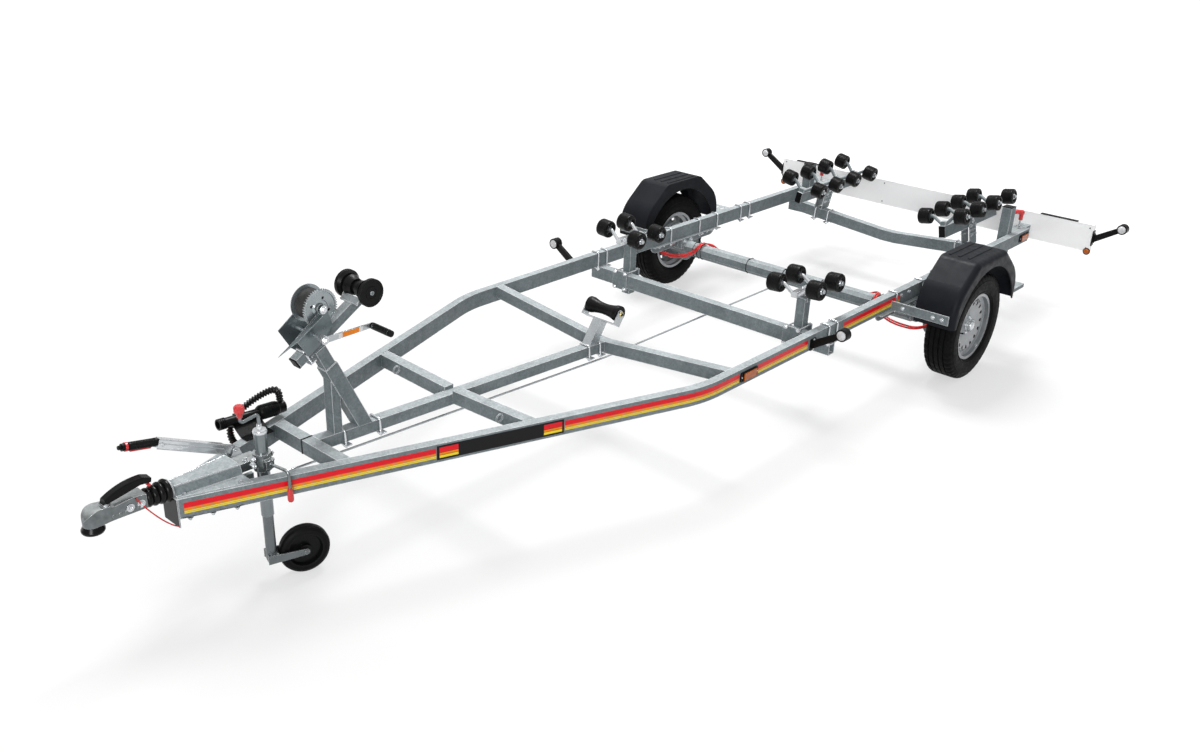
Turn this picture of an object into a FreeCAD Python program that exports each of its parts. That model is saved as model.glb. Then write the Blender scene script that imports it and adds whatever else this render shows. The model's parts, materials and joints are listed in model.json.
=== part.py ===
import FreeCAD, Part
import math
import os
import re
import Sketcher

# Boat trailer with a V-nose galvanised frame, one braked axle and swinging keel and hull rollers.
# X points forward to the coupling, Y to the left, Z up. The origin is on the ground, mid-length.

Vector = FreeCAD.Vector
doc = FreeCAD.newDocument("BoatTrailer")

# Driving dimensions, in millimetres and degrees
SIZES = {
    # Whole trailer and the two side beams
    "overall_length": 5900, "coupling_reach": 325, "tail_reach": 141,
    "beam_top": 485, "beam_height": 80, "beam_width": 40,
    "nose_half_width": 51, "frame_half_width": 774, "kink_run": 2091, "kink_radius": 600,
    "seat_gap": 0.3,
    # Cross-members and spine
    "cross_height": 60, "cross_width": 50, "front_cross_run": 591, "mid_cross_run": 1325,
    "mid_cross_drop": 17, "eye_offset": 330, "eye_ring_radius": 16, "eye_rod_radius": 5,
    "keel_cross_run": 2310, "spine_size": 50, "spine_end_drop": 78,
    "bunk_run": 3116, "bunk_width": 50, "bunk_height": 74, "bunk_overhang": 11,
    "open_end_depth": 60, "tube_wall": 4,
    "rear_cross_setback": 294, "rear_cross_height": 70, "rear_cross_width": 50,
    "rear_cross_drop": 52, "rear_cross_flat": 90, "rear_cross_inset": 4,
    # Coupling and overrun gear
    "cover_length": 255, "cover_wall": 3, "cover_rise": 38, "cover_lip": 24,
    "channel_front_half": 22, "channel_rear_half": 50, "channel_slope": 12,
    "overrun_depth": 62, "overrun_length": 330, "nose_plate_wall": 5, "nose_plate_bottom": 371,
    "drawbar_radius": 25, "drawbar_height": 508,
    "bellows_radius_front": 34, "bellows_radius_rear": 45, "bellows_length": 98, "bellows_groove": 8,
    "head_top": 38, "head_bottom": 21, "head_half_width": 30, "socket_radius": 26,
    "head_wall": 6, "socket_depth": 34,
    "buffer_radius": 40, "buffer_height": 26, "buffer_bore_radius": 28,
    "handle_length": 176, "handle_height": 53, "handle_width": 34,
    "handle_edge_radius": 5, "handle_lug_length": 26, "handle_lug_width": 18,
    # Jockey wheel
    "jockey_run": 341, "jockey_offset": 60, "jockey_outer_radius": 24, "jockey_wall": 3,
    "jockey_inner_radius": 20.5, "jockey_top": 640, "jockey_outer_bottom": 285,
    "jockey_inner_bottom": 88, "jockey_clamp_height": 70, "jockey_clamp_radius": 34,
    "jockey_clamp_centre": 516, "jockey_wheel_radius": 100, "jockey_wheel_width": 50,
    "jockey_trail": 127, "jockey_fork_wall": 5, "jockey_fork_gap": 5, "jockey_fork_height": 36, "jockey_hub_radius": 24,
    "jockey_pin_radius": 8, "jockey_swivel_angle": 18, "crank_rod_radius": 6, "crank_rise": 66,
    "crank_reach": 74, "knob_radius": 17, "knob_height": 46,
    "clamp_lug_size": 34, "clamp_screw_reach": 112, "clamp_screw_back": 18,
    "clamp_lever_drop": 123, "clamp_grip_radius": 10, "clamp_grip_length": 55,
    # Handbrake lever
    "brake_pivot_run": 318, "brake_pivot_offset": 96, "brake_pivot_height": 508,
    "brake_lever_length": 340, "brake_lever_tilt": 25, "brake_lever_width": 22,
    "brake_lever_height": 30, "brake_lever_wall": 3, "brake_pin_radius": 6,
    "brake_grip_length": 118, "brake_grip_droop": 14,
    "brake_grip_radius": 15, "brake_ear_wall": 4,
    # Winch post, winch and bow roller
    "post_foot_run": 836, "post_lean": 26, "post_size": 60, "post_length": 330,
    "inner_post_size": 50, "inner_post_reach": 92, "strut_run": 707, "strut_size": 40,
    "arm_tilt": 31, "arm_size": 40, "arm_front": 102, "arm_rear": 236, "arm_above_collar": 114,
    "winch_plate_gap": 55, "winch_plate_wall": 3, "winch_plate_front": 66, "winch_plate_rear": 84,
    "winch_plate_top": 117, "winch_plate_step": 45, "winch_lobe_radius": 20,
    "winch_tongue_reach": 157, "winch_tongue_width": 20,
    "drum_back": 84, "drum_rise": 126, "drum_radius": 34,
    "drum_half_width": 40, "drum_flange_wall": 3, "drum_flange_radius": 72,
    "gear_width": 8, "gear_teeth": 48, "pinion_teeth": 20, "gear_module": 3, "mesh_angle": 38,
    "gear_backlash": 0.7, "gear_web_wall": 4, "gear_hub_radius": 24, "gear_hub_width": 11,
    "gear_hole_radius": 6, "gear_hole_count": 4, "gear_hole_place": 40,
    "axle_pin_radius": 8,
    "crank_shaft_reach": 62, "crank_arm_length": 212, "crank_arm_width": 24, "crank_arm_wall": 6,
    "crank_hub_radius": 17, "crank_grip_length": 118, "crank_grip_radius": 13,
    "bow_axis_back": 272, "bow_axis_rise": 30, "bow_disc_radius": 55, "bow_half_width": 80,
    "bow_rim_width": 14, "bow_waist_radius": 25, "bow_ear_offset": 50, "bow_ear_wall": 4,
    "bow_ear_gap": 3, "bow_ear_width": 32,
    # Keel roller
    "keel_post_run": 2200, "keel_post_lean": 34, "keel_post_size": 50, "keel_post_length": 128,
    "keel_axis_rise": 58, "keel_roller_half": 95, "keel_roller_radius": 39,
    "keel_waist_radius": 27, "keel_ear_gap": 4, "keel_ear_wall": 5, "keel_ear_width": 50,
    # Hull rollers
    "hull_roller_radius": 48, "hull_roller_width": 70, "hull_roller_dish": 12,
    "hull_roller_spacing": 226, "rod_radius": 10, "rod_end_reach": 12, "fit_gap": 0.05,
    "mid_set_inset": 206, "mid_axis_height": 640, "mid_tilt": 4, "mid_pitch": 172,
    "mid_post_size": 50, "mid_post_bottom": 275, "mid_dip": 42,
    "cradle_width": 34, "cradle_height": 30,
    "rear_set_inset": 289, "rear_axis_height": 624, "rear_tilt": 11, "rear_pitch": 216,
    "rear_dip": 44, "rocker_half_length": 352, "rocker_height": 70, "rocker_width": 40,
    "rocker_centre_height": 534, "rocker_pin_radius": 8, "rocker_range_gap": 4,
    "bracket_wall": 5, "bracket_width": 90, "bracket_hole_radius": 6, "bracket_hole_pitch": 28,
    "clamp_plate_wall": 6, "clamp_plate_lip": 15,
    # Axle, wheels and mudguards
    "axle_setback": 1352, "axle_tube_forward": 175, "axle_tube_height": 340, "axle_tube_size": 80,
    "swing_arm_width": 26, "axle_channel_length": 640, "axle_channel_depth": 48,
    "axle_channel_lip": 34, "axle_channel_wall": 5,
    "drum_brake_radius": 115, "drum_brake_width": 55, "stub_radius": 17,
    "tyre_radius": 294, "tyre_width": 165, "wheel_overhang": 241, "rim_radius": 172,
    "rim_flange_radius": 182, "rim_width": 130, "rim_wall": 4, "rim_dish": 26, "hub_radius": 56,
    "rim_slot_count": 16, "rim_slot_radius": 138, "rim_slot_size": 11,
    "guard_width": 220, "guard_wall": 5, "guard_reach": 368, "guard_top": 402,
    "guard_crown_half": 165, "guard_shoulder": 240, "guard_bottom": 88,
    "guard_shoulder_radius": 200, "guard_crown_radius": 60, "guard_edge_radius": 30,
    "guard_arch_radius": 345, "guard_ridge_width": 14, "guard_ridge_height": 3, "guard_ridge_pitch": 52,
    "stay_height": 50, "stay_wall": 6, "step_length": 190, "step_depth": 22, "step_wall": 3,
    "step_slot_length": 50, "step_slot_width": 16, "step_slot_pitch": 44,
    # Lights
    "board_overhang": 342, "board_height": 166, "board_bottom": 388, "board_wall": 25,
    "board_arm_size": 60, "board_arm_reach": 236,
    "board_post_size": 60, "board_post_rise": 162,
    "lamp_radius": 30, "lamp_width": 40, "side_lamp_run": 2941, "side_lamp_drop": 50,
    "stalk_length": 158, "stalk_rise": 95, "stalk_wide": 44, "stalk_slim": 28, "stalk_thick": 20,
    "stalk_foot_height": 58, "stalk_foot_wall": 7,
    "marker_length": 92, "marker_height": 34, "marker_wall": 14, "marker_run": 2410,
    "tail_marker_setback": 76,
    # Cables, plug and its conduit
    "brake_rod_radius": 5, "brake_rod_drop": 40, "brake_cable_radius": 5, "breakaway_radius": 2.5,
    "conduit_radius": 15, "plug_radius": 29, "plug_length": 118,
    "holder_run": 348, "holder_offset": 250, "holder_height": 542, "holder_tilt": 3.5,
    "holder_radius": 20, "holder_bore_radius": 16, "holder_length": 178, "holder_wall": 5,
    "holder_plate_length": 120, "holder_plate_inset": 60,
}

sheet = doc.addObject("Spreadsheet::Sheet", "Sizes")
for row, (alias, amount) in enumerate(SIZES.items(), start=1):
    sheet.set(f"A{row}", alias)
    sheet.set(f"B{row}", str(amount))
    sheet.setAlias(f"B{row}", alias)
doc.recompute()


class Size:
    """A length, angle or ratio: its value now and the sheet expression that gives it."""

    def __init__(self, value, text):
        self.value = float(value)
        self.text = text

    def join(self, other, sign, swap=False):
        other = other if isinstance(other, Size) else Size(other, repr(other))
        left, right = (other, self) if swap else (self, other)
        value = {
            "+": lambda: left.value + right.value, "-": lambda: left.value - right.value,
            "*": lambda: left.value * right.value, "/": lambda: left.value / right.value,
        }[sign]()
        return Size(value, f"({left.text} {sign} {right.text})")

    def __add__(self, other):
        return self.join(other, "+")

    def __radd__(self, other):
        return self.join(other, "+", swap=True)

    def __sub__(self, other):
        return self.join(other, "-")

    def __rsub__(self, other):
        return self.join(other, "-", swap=True)

    def __mul__(self, other):
        return self.join(other, "*")

    def __rmul__(self, other):
        return self.join(other, "*", swap=True)

    def __truediv__(self, other):
        return self.join(other, "/")

    def __rtruediv__(self, other):
        return self.join(other, "/", swap=True)

    def __neg__(self):
        return self.join(-1, "*")


class Sheet:
    """Reads a driving dimension as S.name."""

    def __getattr__(self, alias):
        return Size(sheet.get(alias), f"Sizes.{alias}")


S = Sheet()
ZERO = Size(0, "0")


def sine(angle):
    return Size(math.sin(math.radians(angle.value)), f"sin({angle.text})")


def cosine(angle):
    return Size(math.cos(math.radians(angle.value)), f"cos({angle.text})")


def tangent(angle):
    return Size(math.tan(math.radians(angle.value)), f"tan({angle.text})")


def slope_angle(rise, run):
    """The angle whose tangent is rise over run."""
    return Size(math.degrees(math.atan2(rise.value, run.value)), f"atan({rise.text} / {run.text})")


def sized(amount):
    return amount if isinstance(amount, Size) else Size(amount, repr(amount))


def point(x, y, z):
    return Vector(sized(x).value, sized(y).value, sized(z).value)


# Main stations along the trailer
half_length = S.overall_length / 2
nose_x = half_length - S.coupling_reach
tail_x = S.tail_reach - half_length
kink_x = nose_x - S.kink_run
axle_x = tail_x + S.axle_setback
rear_cross_x = tail_x + S.rear_cross_setback
beam_bottom = S.beam_top - S.beam_height
wheel_y = S.frame_half_width + S.wheel_overhang
board_half_width = S.frame_half_width + S.board_overhang
nose_angle = slope_angle(S.frame_half_width - S.nose_half_width, S.kink_run)


def beam_outer_y(run):
    """Half width of the frame over its side beams, at a distance behind the nose."""
    return S.nose_half_width + run * tangent(nose_angle)


def beam_inner_y(run):
    return beam_outer_y(run) - S.beam_width / cosine(nose_angle)


# Sketches, features and placements

def bind(obj, path, amount):
    obj.setExpression(path, sized(amount).text)


def place(obj, x=ZERO, y=ZERO, z=ZERO, axis=None, angle=ZERO):
    """Put an object at a bound place, turned about an axis by a bound angle."""
    angle = sized(angle)
    turn = FreeCAD.Rotation(axis, angle.value) if axis is not None else FreeCAD.Rotation()
    obj.Placement = FreeCAD.Placement(point(x, y, z), turn)
    for letter, amount in zip("xyz", (x, y, z)):
        bind(obj, f"Placement.Base.{letter}", amount)
    if axis is not None and angle.text != "0":
        bind(obj, "Placement.Rotation.Angle", angle)
    return obj


def new_body(label):
    body = doc.addObject("PartDesign::Body", label)
    body.Label = label
    return body


def origin_feature(body, role):
    return next(f for f in body.Origin.OriginFeatures if f.Role == role)


def new_sketch(body, role, offset=None):
    sketch = body.newObject("Sketcher::SketchObject", f"{body.Name}_outline")
    sketch.AttachmentSupport = [(origin_feature(body, role), "")]
    sketch.MapMode = "FlatFace"
    if offset is not None:
        bind(sketch, "AttachmentOffset.Base.z", offset)
    return sketch


def name_constraint(sketch, kind, geometry, end, amount):
    amount = sized(amount)
    args = (kind, geometry, end, amount.value) if end else (kind, geometry, amount.value)
    index = sketch.addConstraint(Sketcher.Constraint(*args))
    label = f"size_{index}"
    sketch.renameConstraint(index, label)
    bind(sketch, f"Constraints.{label}", amount)


def bulged_arc(start, end, radius):
    """An arc of a given radius from start to end, bulging to the left when the radius is positive."""
    chord = end - start
    half = chord.Length / 2
    size = max(abs(radius), half)
    sagitta = size - math.sqrt(size * size - half * half)
    side = Vector(-chord.y, chord.x, 0).normalize() * math.copysign(sagitta, radius)
    middle = start + chord * 0.5 + side
    return Part.Arc(end, middle, start) if radius > 0 else Part.Arc(start, middle, end)


# An arc this near to a half circle is centred between its ends
HALF_ROUND_SHARE = 0.01


def add_outline(sketch, corners, arcs=None):
    """A closed outline of bound corners; arcs maps an edge's index to its radius."""
    arcs = arcs or {}
    spots = [Vector(sized(x).value, sized(y).value, 0) for x, y in corners]
    first = sketch.GeometryCount
    starts = []
    for i, spot in enumerate(spots):
        after = spots[(i + 1) % len(spots)]
        if i in arcs:
            radius = sized(arcs[i]).value
            sketch.addGeometry(bulged_arc(spot, after, radius), False)
            starts.append(2 if radius > 0 else 1)
        else:
            sketch.addGeometry(Part.LineSegment(spot, after), False)
            starts.append(1)
    count = len(spots)
    for i in range(count):
        j = (i + 1) % count
        end = 3 - starts[i]
        sketch.addConstraint(Sketcher.Constraint("Coincident", first + i, end, first + j, starts[j]))
    for i, (x, y) in enumerate(corners):
        name_constraint(sketch, "DistanceX", first + i, starts[i], x)
        name_constraint(sketch, "DistanceY", first + i, starts[i], y)
    for i, radius in arcs.items():
        size = sized(radius)
        chord = (spots[(i + 1) % count] - spots[i]).Length
        if abs(abs(size.value) - chord / 2) < chord * HALF_ROUND_SHARE:
            sketch.addConstraint(Sketcher.Constraint("Symmetric", first + i, 1, first + i, 2, first + i, 3))
        else:
            name_constraint(sketch, "Radius", first + i, 0, size if size.value > 0 else -size)


def add_circle(sketch, x, y, radius):
    centre = Vector(sized(x).value, sized(y).value, 0)
    index = sketch.addGeometry(Part.Circle(centre, Vector(0, 0, 1), sized(radius).value), False)
    name_constraint(sketch, "DistanceX", index, 3, x)
    name_constraint(sketch, "DistanceY", index, 3, y)
    name_constraint(sketch, "Radius", index, 0, radius)


def pad(body, sketch, length, symmetric=False, reverse=False):
    feature = body.newObject("PartDesign::Pad", f"{body.Name}_pad")
    feature.Profile = sketch
    feature.SideType = "Symmetric" if symmetric else "One side"
    feature.Reversed = reverse
    bind(feature, "Length", length)
    return feature


def pocket(body, sketch, length=None, symmetric=False, reverse=False):
    feature = body.newObject("PartDesign::Pocket", f"{body.Name}_pocket")
    feature.Profile = sketch
    feature.SideType = "Symmetric" if symmetric else "One side"
    feature.Reversed = reverse
    if length is None:
        feature.Type = "ThroughAll"
    else:
        bind(feature, "Length", length)
    return feature


def revolve(body, sketch, role, cut=False):
    kind = "PartDesign::Groove" if cut else "PartDesign::Revolution"
    feature = body.newObject(kind, f"{body.Name}_turned")
    feature.Profile = sketch
    feature.ReferenceAxis = (origin_feature(body, role), [""])
    feature.Angle = 360
    return feature


def polar_pattern(body, feature, role, count):
    pattern = body.newObject("PartDesign::PolarPattern", f"{body.Name}_ring")
    pattern.Originals = [feature]
    pattern.Axis = (origin_feature(body, role), [""])
    pattern.Angle = 360
    bind(pattern, "Occurrences", count)
    body.Tip = pattern
    return pattern


def on_edges(source, chosen):
    """The names of a feature's edges whose box passes a test."""
    doc.recompute()
    return [f"Edge{i}" for i, edge in enumerate(source.Shape.Edges, start=1) if chosen(edge.BoundBox)]


def rounded(body, source, radius, chosen):
    """Round the chosen edges of a body's last feature."""
    names = on_edges(source, chosen)
    fillet = body.newObject("PartDesign::Fillet", f"{body.Name}_round")
    fillet.Base = (source, names)
    bind(fillet, "Radius", radius)
    return fillet


def plate(label, role, corners, length, arcs=None, symmetric=True, holes=(), offset=None):
    """A body padded from one outline, with round holes right through."""
    body = new_body(label)
    sketch = new_sketch(body, role, offset)
    add_outline(sketch, corners, arcs)
    for x, y, radius in holes:
        add_circle(sketch, x, y, radius)
    pad(body, sketch, length, symmetric)
    return body


def turned(label, role, axis_role, corners, arcs=None):
    """A body of revolution from a half outline."""
    body = new_body(label)
    sketch = new_sketch(body, role)
    add_outline(sketch, corners, arcs)
    revolve(body, sketch, axis_role)
    return body


def box(label, length, width, height):
    obj = doc.addObject("Part::Box", label)
    obj.Label = label
    bind(obj, "Length", length)
    bind(obj, "Width", width)
    bind(obj, "Height", height)
    return obj


def block(label, x, y, z, length, width, height):
    """A box given by its centre."""
    obj = box(label, length, width, height)
    return place(obj, x - length / 2, y - width / 2, z - height / 2)


def cylinder(label, radius, length, x, y, z, axis=None, angle=ZERO):
    obj = doc.addObject("Part::Cylinder", label)
    obj.Label = label
    bind(obj, "Radius", radius)
    bind(obj, "Height", length)
    return place(obj, x, y, z, axis, angle)


SIDEWAYS = Vector(1, 0, 0)
ENDWAYS = Vector(0, 1, 0)
RIGHT_ANGLE = Size(90, "90")


def pin(label, radius, x, y_from, y_to, z):
    """A round pin along Y."""
    return cylinder(label, radius, y_to - y_from, x, y_from, z, SIDEWAYS, -RIGHT_ANGLE)


def fuse(label, shapes):
    obj = doc.addObject("Part::MultiFuse", label)
    obj.Label = label
    obj.Shapes = shapes
    return obj


def cut(label, base, tool):
    obj = doc.addObject("Part::Cut", label)
    obj.Label = label
    obj.Base = base
    obj.Tool = tool
    return obj


def group(label, shapes):
    """Separate solids that make one sub-part."""
    obj = doc.addObject("Part::Compound", label)
    obj.Label = label
    obj.Links = shapes
    return obj


def mirrored(label, source):
    """The right-hand twin of a left-hand piece."""
    obj = doc.addObject("Part::Mirroring", label)
    obj.Label = label
    obj.Source = source
    obj.Normal = Vector(0, 1, 0)
    return obj


def feature(label, shape):
    obj = doc.addObject("Part::Feature", label)
    obj.Label = label
    obj.Shape = shape
    return obj


def bent_path(points, radii):
    """Straight runs joined by tangent arcs, one radius for each inner point."""
    edges = []
    start = points[0]
    for i in range(1, len(points) - 1):
        into = (points[i] - points[i - 1]).normalize()
        out = (points[i + 1] - points[i]).normalize()
        turn = into.getAngle(out)
        back = radii[i - 1] * math.tan(turn / 2)
        first, last = points[i] - into * back, points[i] + out * back
        inward = (out - into).normalize()
        middle = points[i] + inward * (radii[i - 1] / math.cos(turn / 2) - radii[i - 1])
        if (first - start).Length > 1e-6:
            edges.append(Part.LineSegment(start, first).toShape())
        edges.append(Part.Arc(first, middle, last).toShape())
        start = last
    edges.append(Part.LineSegment(start, points[-1]).toShape())
    return Part.Wire(edges)


def round_rod(points, radius, radii):
    """A round rod or tube outline swept along a bent path."""
    path = bent_path(points, radii)
    along = points[1] - points[0]
    section = Part.Wire([Part.makeCircle(radius, points[0], along)])
    return path.makePipeShell([section], True, False)


def cord_radii(points):
    """Arcs as large as the two runs at each point allow."""
    radii = []
    for i in range(1, len(points) - 1):
        into, out = points[i] - points[i - 1], points[i + 1] - points[i]
        shorter = min(into.Length, out.Length)
        radii.append(CORD_SHARE * shorter / math.tan(into.getAngle(out) / 2))
    return radii


CORD_SHARE = 0.45

PARTS = []


def keep(*objects):
    PARTS.extend(objects)


# Side beams: rectangular tube with one smooth bend, drawn in plan

def side_beam():
    bend = nose_angle / 2
    outer, inner = S.kink_radius, S.kink_radius - S.beam_width
    tail, tip = tail_x, nose_x
    inner_kink_x = kink_x - S.beam_width * tangent(bend)
    inner_y = S.frame_half_width - S.beam_width
    outer_back, inner_back = outer * tangent(bend), inner * tangent(bend)
    corners = [
        (tip, S.nose_half_width),
        (kink_x + outer_back * cosine(nose_angle), S.frame_half_width - outer_back * sine(nose_angle)),
        (kink_x - outer_back, S.frame_half_width),
        (tail, S.frame_half_width),
        (tail, inner_y),
        (inner_kink_x - inner_back, inner_y),
        (inner_kink_x + inner_back * cosine(nose_angle), inner_y - inner_back * sine(nose_angle)),
        (tip, S.nose_half_width - S.beam_width / cosine(nose_angle)),
    ]
    beam = plate("side_beam_left", "XY_Plane", corners, S.beam_height,
                 arcs={1: -outer, 5: inner}, symmetric=False)
    place(beam, z=beam_bottom)
    return beam, mirrored("side_beam_right", beam)


keep(*side_beam())


# Spine: square tube from the front cross-member down to the keel cross-member

spine_front_run = S.front_cross_run + S.cross_width / 2
spine_rear_run = S.keel_cross_run - S.cross_width / 2
spine_angle = slope_angle(S.spine_end_drop, spine_rear_run - spine_front_run)


def spine_top(run):
    return S.beam_top - (run - spine_front_run) * tangent(spine_angle)


def spine_beam():
    front_x, rear_x = nose_x - spine_front_run, nose_x - spine_rear_run
    front, rear = S.beam_top, S.beam_top - S.spine_end_drop
    corners = [
        (front_x, front), (rear_x, rear), (rear_x, rear - S.spine_size), (front_x, front - S.spine_size),
    ]
    return plate("spine_beam", "XZ_Plane", corners, S.spine_size)


keep(spine_beam())


# Cross-members

def front_cross_member():
    front_run = S.front_cross_run - S.cross_width / 2
    rear_run = S.front_cross_run + S.cross_width / 2
    near, far = beam_inner_y(front_run) - S.seat_gap, beam_inner_y(rear_run) - S.seat_gap
    corners = [
        (nose_x - front_run, near), (nose_x - rear_run, far),
        (nose_x - rear_run, -far), (nose_x - front_run, -near),
    ]
    bar = plate("front_cross_member", "XY_Plane", corners, S.cross_height, symmetric=False)
    return place(bar, z=S.beam_top - S.cross_height)


def dropped_member(label, run, drop, half_span):
    """A cross-member that dips to the spine, drawn across the trailer."""
    top = S.beam_top
    side = S.spine_size / 2
    corners = [
        (half_span, top), (side, top - drop), (-side, top - drop), (-half_span, top),
        (-half_span, top - S.cross_height), (-side, top - drop - S.cross_height),
        (side, top - drop - S.cross_height), (half_span, top - S.cross_height),
    ]
    bar = plate(label, "YZ_Plane", corners, S.cross_width)
    return place(bar, x=nose_x - run)


def mid_cross_member():
    run = S.mid_cross_run
    wide = beam_outer_y(run + S.cross_width / 2)
    side = S.spine_size / 2 + S.seat_gap
    front_run, rear_run = run - S.cross_width / 2, run + S.cross_width / 2
    near, far = beam_inner_y(front_run) - S.seat_gap, beam_inner_y(rear_run) - S.seat_gap
    halves = []
    for name, way in (("left", 1), ("right", -1)):
        across = plate(f"mid_arm_{name}", "YZ_Plane", [
            (side * way, S.beam_top - S.mid_cross_drop), (wide * way, S.beam_top),
            (wide * way, S.beam_top - S.cross_height),
            (side * way, S.beam_top - S.mid_cross_drop - S.cross_height),
        ], S.cross_width)
        place(across, x=nose_x - run)
        plan = plate(f"mid_trim_{name}", "XY_Plane", [
            (nose_x - front_run, side * way), (nose_x - front_run, near * way),
            (nose_x - rear_run, far * way), (nose_x - rear_run, side * way),
        ], S.overall_length)
        arm = doc.addObject("Part::Common", f"mid_cross_{name}")
        arm.Base, arm.Tool = across, plan
        big, rod = S.eye_ring_radius, S.eye_rod_radius
        ring = turned(f"eye_{name}", "XY_Plane", "Y_Axis", [
            (big - rod, ZERO), (big, -rod), (big + rod, ZERO), (big, rod),
        ])
        place(ring, nose_x - front_run + big, S.eye_offset * way, S.beam_top - S.cross_height / 2)
        halves.append(fuse(f"mid_cross_with_eye_{name}", [arm, ring]))
    return group("mid_cross_member", halves)


def bunk_cross_beam():
    bunk_half = S.frame_half_width + S.bunk_overhang
    bar = block("bunk_tube", nose_x - S.bunk_run, ZERO, beam_bottom - S.bunk_height / 2 - S.seat_gap,
                S.bunk_width, bunk_half * 2, S.bunk_height)
    ends = [
        block(f"bunk_end_{name}", nose_x - S.bunk_run,
              (bunk_half - S.open_end_depth / 2) * way,
              beam_bottom - S.bunk_height / 2 - S.seat_gap,
              S.bunk_width - S.tube_wall * 2, S.open_end_depth, S.bunk_height - S.tube_wall * 2)
        for name, way in (("left", 1), ("right", -1))
    ]
    return cut("bunk_cross_beam", bar, fuse("bunk_ends", ends))


def rear_cross_member():
    top = beam_bottom - S.seat_gap
    flat, half = S.rear_cross_flat / 2, S.frame_half_width - S.rear_cross_inset
    seat = S.frame_half_width - S.beam_width * 3
    drop, tall = S.rear_cross_drop, S.rear_cross_height
    corners = [
        (half, top), (seat, top), (flat, top - drop), (-flat, top - drop), (-seat, top), (-half, top),
        (-half, top - tall), (-seat, top - tall), (-flat, top - drop - tall),
        (flat, top - drop - tall), (seat, top - tall), (half, top - tall),
    ]
    bar = plate("rear_cross_member", "YZ_Plane", corners, S.rear_cross_width)
    return place(bar, x=rear_cross_x)


keel_half = S.frame_half_width - S.beam_width - S.seat_gap
keep(front_cross_member(), mid_cross_member(),
     dropped_member("keel_cross_member", S.keel_cross_run, S.spine_end_drop, keel_half),
     bunk_cross_beam(), rear_cross_member())


# Drawbar cover: a pressed plate over both beams, with a raised channel along its middle

def drawbar_cover():
    wall, rise, length = S.cover_wall, S.cover_rise, S.cover_length
    base = S.beam_top + S.seat_gap
    front_x, rear_x = nose_x - wall, nose_x - length
    front_run, rear_run = wall, length

    def section(run, x, half_channel):
        wide = beam_outer_y(run) - S.beam_width / 4
        slope = half_channel + S.channel_slope
        low, high = base, base + rise
        return [
            point(x, wide, low), point(x, slope, low), point(x, half_channel, high),
            point(x, -half_channel, high), point(x, -slope, low), point(x, -wide, low),
        ]

    def skin(front, rear, shift):
        rows = []
        for corners in (front, rear):
            under = [p - Vector(0, 0, shift) for p in corners]
            rows.append(Part.makePolygon(corners + under[::-1] + corners[:1]))
        return Part.makeLoft(rows, True, True)

    front = section(front_run, front_x, S.channel_front_half)
    rear = section(rear_run, rear_x, S.channel_rear_half)
    lift = Vector(0, 0, wall.value)
    return feature("drawbar_cover", skin([p + lift for p in front], [p + lift for p in rear], wall.value))


keep(drawbar_cover())


# Overrun housing between the beams, with the nose plate that carries the drawbar

def overrun_housing():
    inner = S.nose_half_width - S.beam_width / cosine(nose_angle) - S.seat_gap
    plate_x = nose_x + S.nose_plate_wall / 2 + S.seat_gap
    tall = S.beam_top - S.nose_plate_bottom
    front = block("nose_plate", plate_x, ZERO, S.nose_plate_bottom + tall / 2,
                  S.nose_plate_wall, S.nose_half_width * 2, tall)
    tail = plate("overrun_keel", "XY_Plane", [
        (plate_x, inner), (plate_x, -inner),
        (nose_x - S.overrun_length, -inner), (nose_x - S.overrun_length, inner),
    ], S.overrun_depth, symmetric=False)
    place(tail, z=S.beam_top - S.cover_rise - S.overrun_depth)
    collar = cylinder("drawbar_collar", S.bellows_radius_rear - S.bellows_groove, S.nose_plate_wall,
                      nose_x + S.seat_gap, ZERO, drawbar_z, ENDWAYS, RIGHT_ANGLE)
    bar = cylinder("drawbar_tube", S.drawbar_radius, S.bellows_length - S.seat_gap,
                   nose_x + S.seat_gap, ZERO, drawbar_z, ENDWAYS, RIGHT_ANGLE)
    return fuse("overrun_housing", [front, tail, collar, bar])


drawbar_z = S.drawbar_height
keep(overrun_housing())


# Coupling head: pressed hood over the ball, with the release handle on top and a rubber buffer

head_rear_x = nose_x + S.bellows_length + S.seat_gap
socket_x = half_length - S.buffer_radius
head_low = drawbar_z - S.head_bottom
head_length = socket_x + S.socket_radius + S.head_wall - head_rear_x

# Side outlines, as shares of each piece's length and height
HEAD_TOP_SHARES = [(0, 0.92), (0.22, 1.0), (0.52, 0.86), (0.7, 1.0)]
HEAD_NOSE_SHARE = 0.36
HANDLE_UNDER_SHARES = [(0, 0.0), (0.72, 0.5), (0.98, 0.42)]
HANDLE_OVER_SHARES = [(1.0, 0.76), (0.82, 1.0), (0.03, 0.36)]


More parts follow.
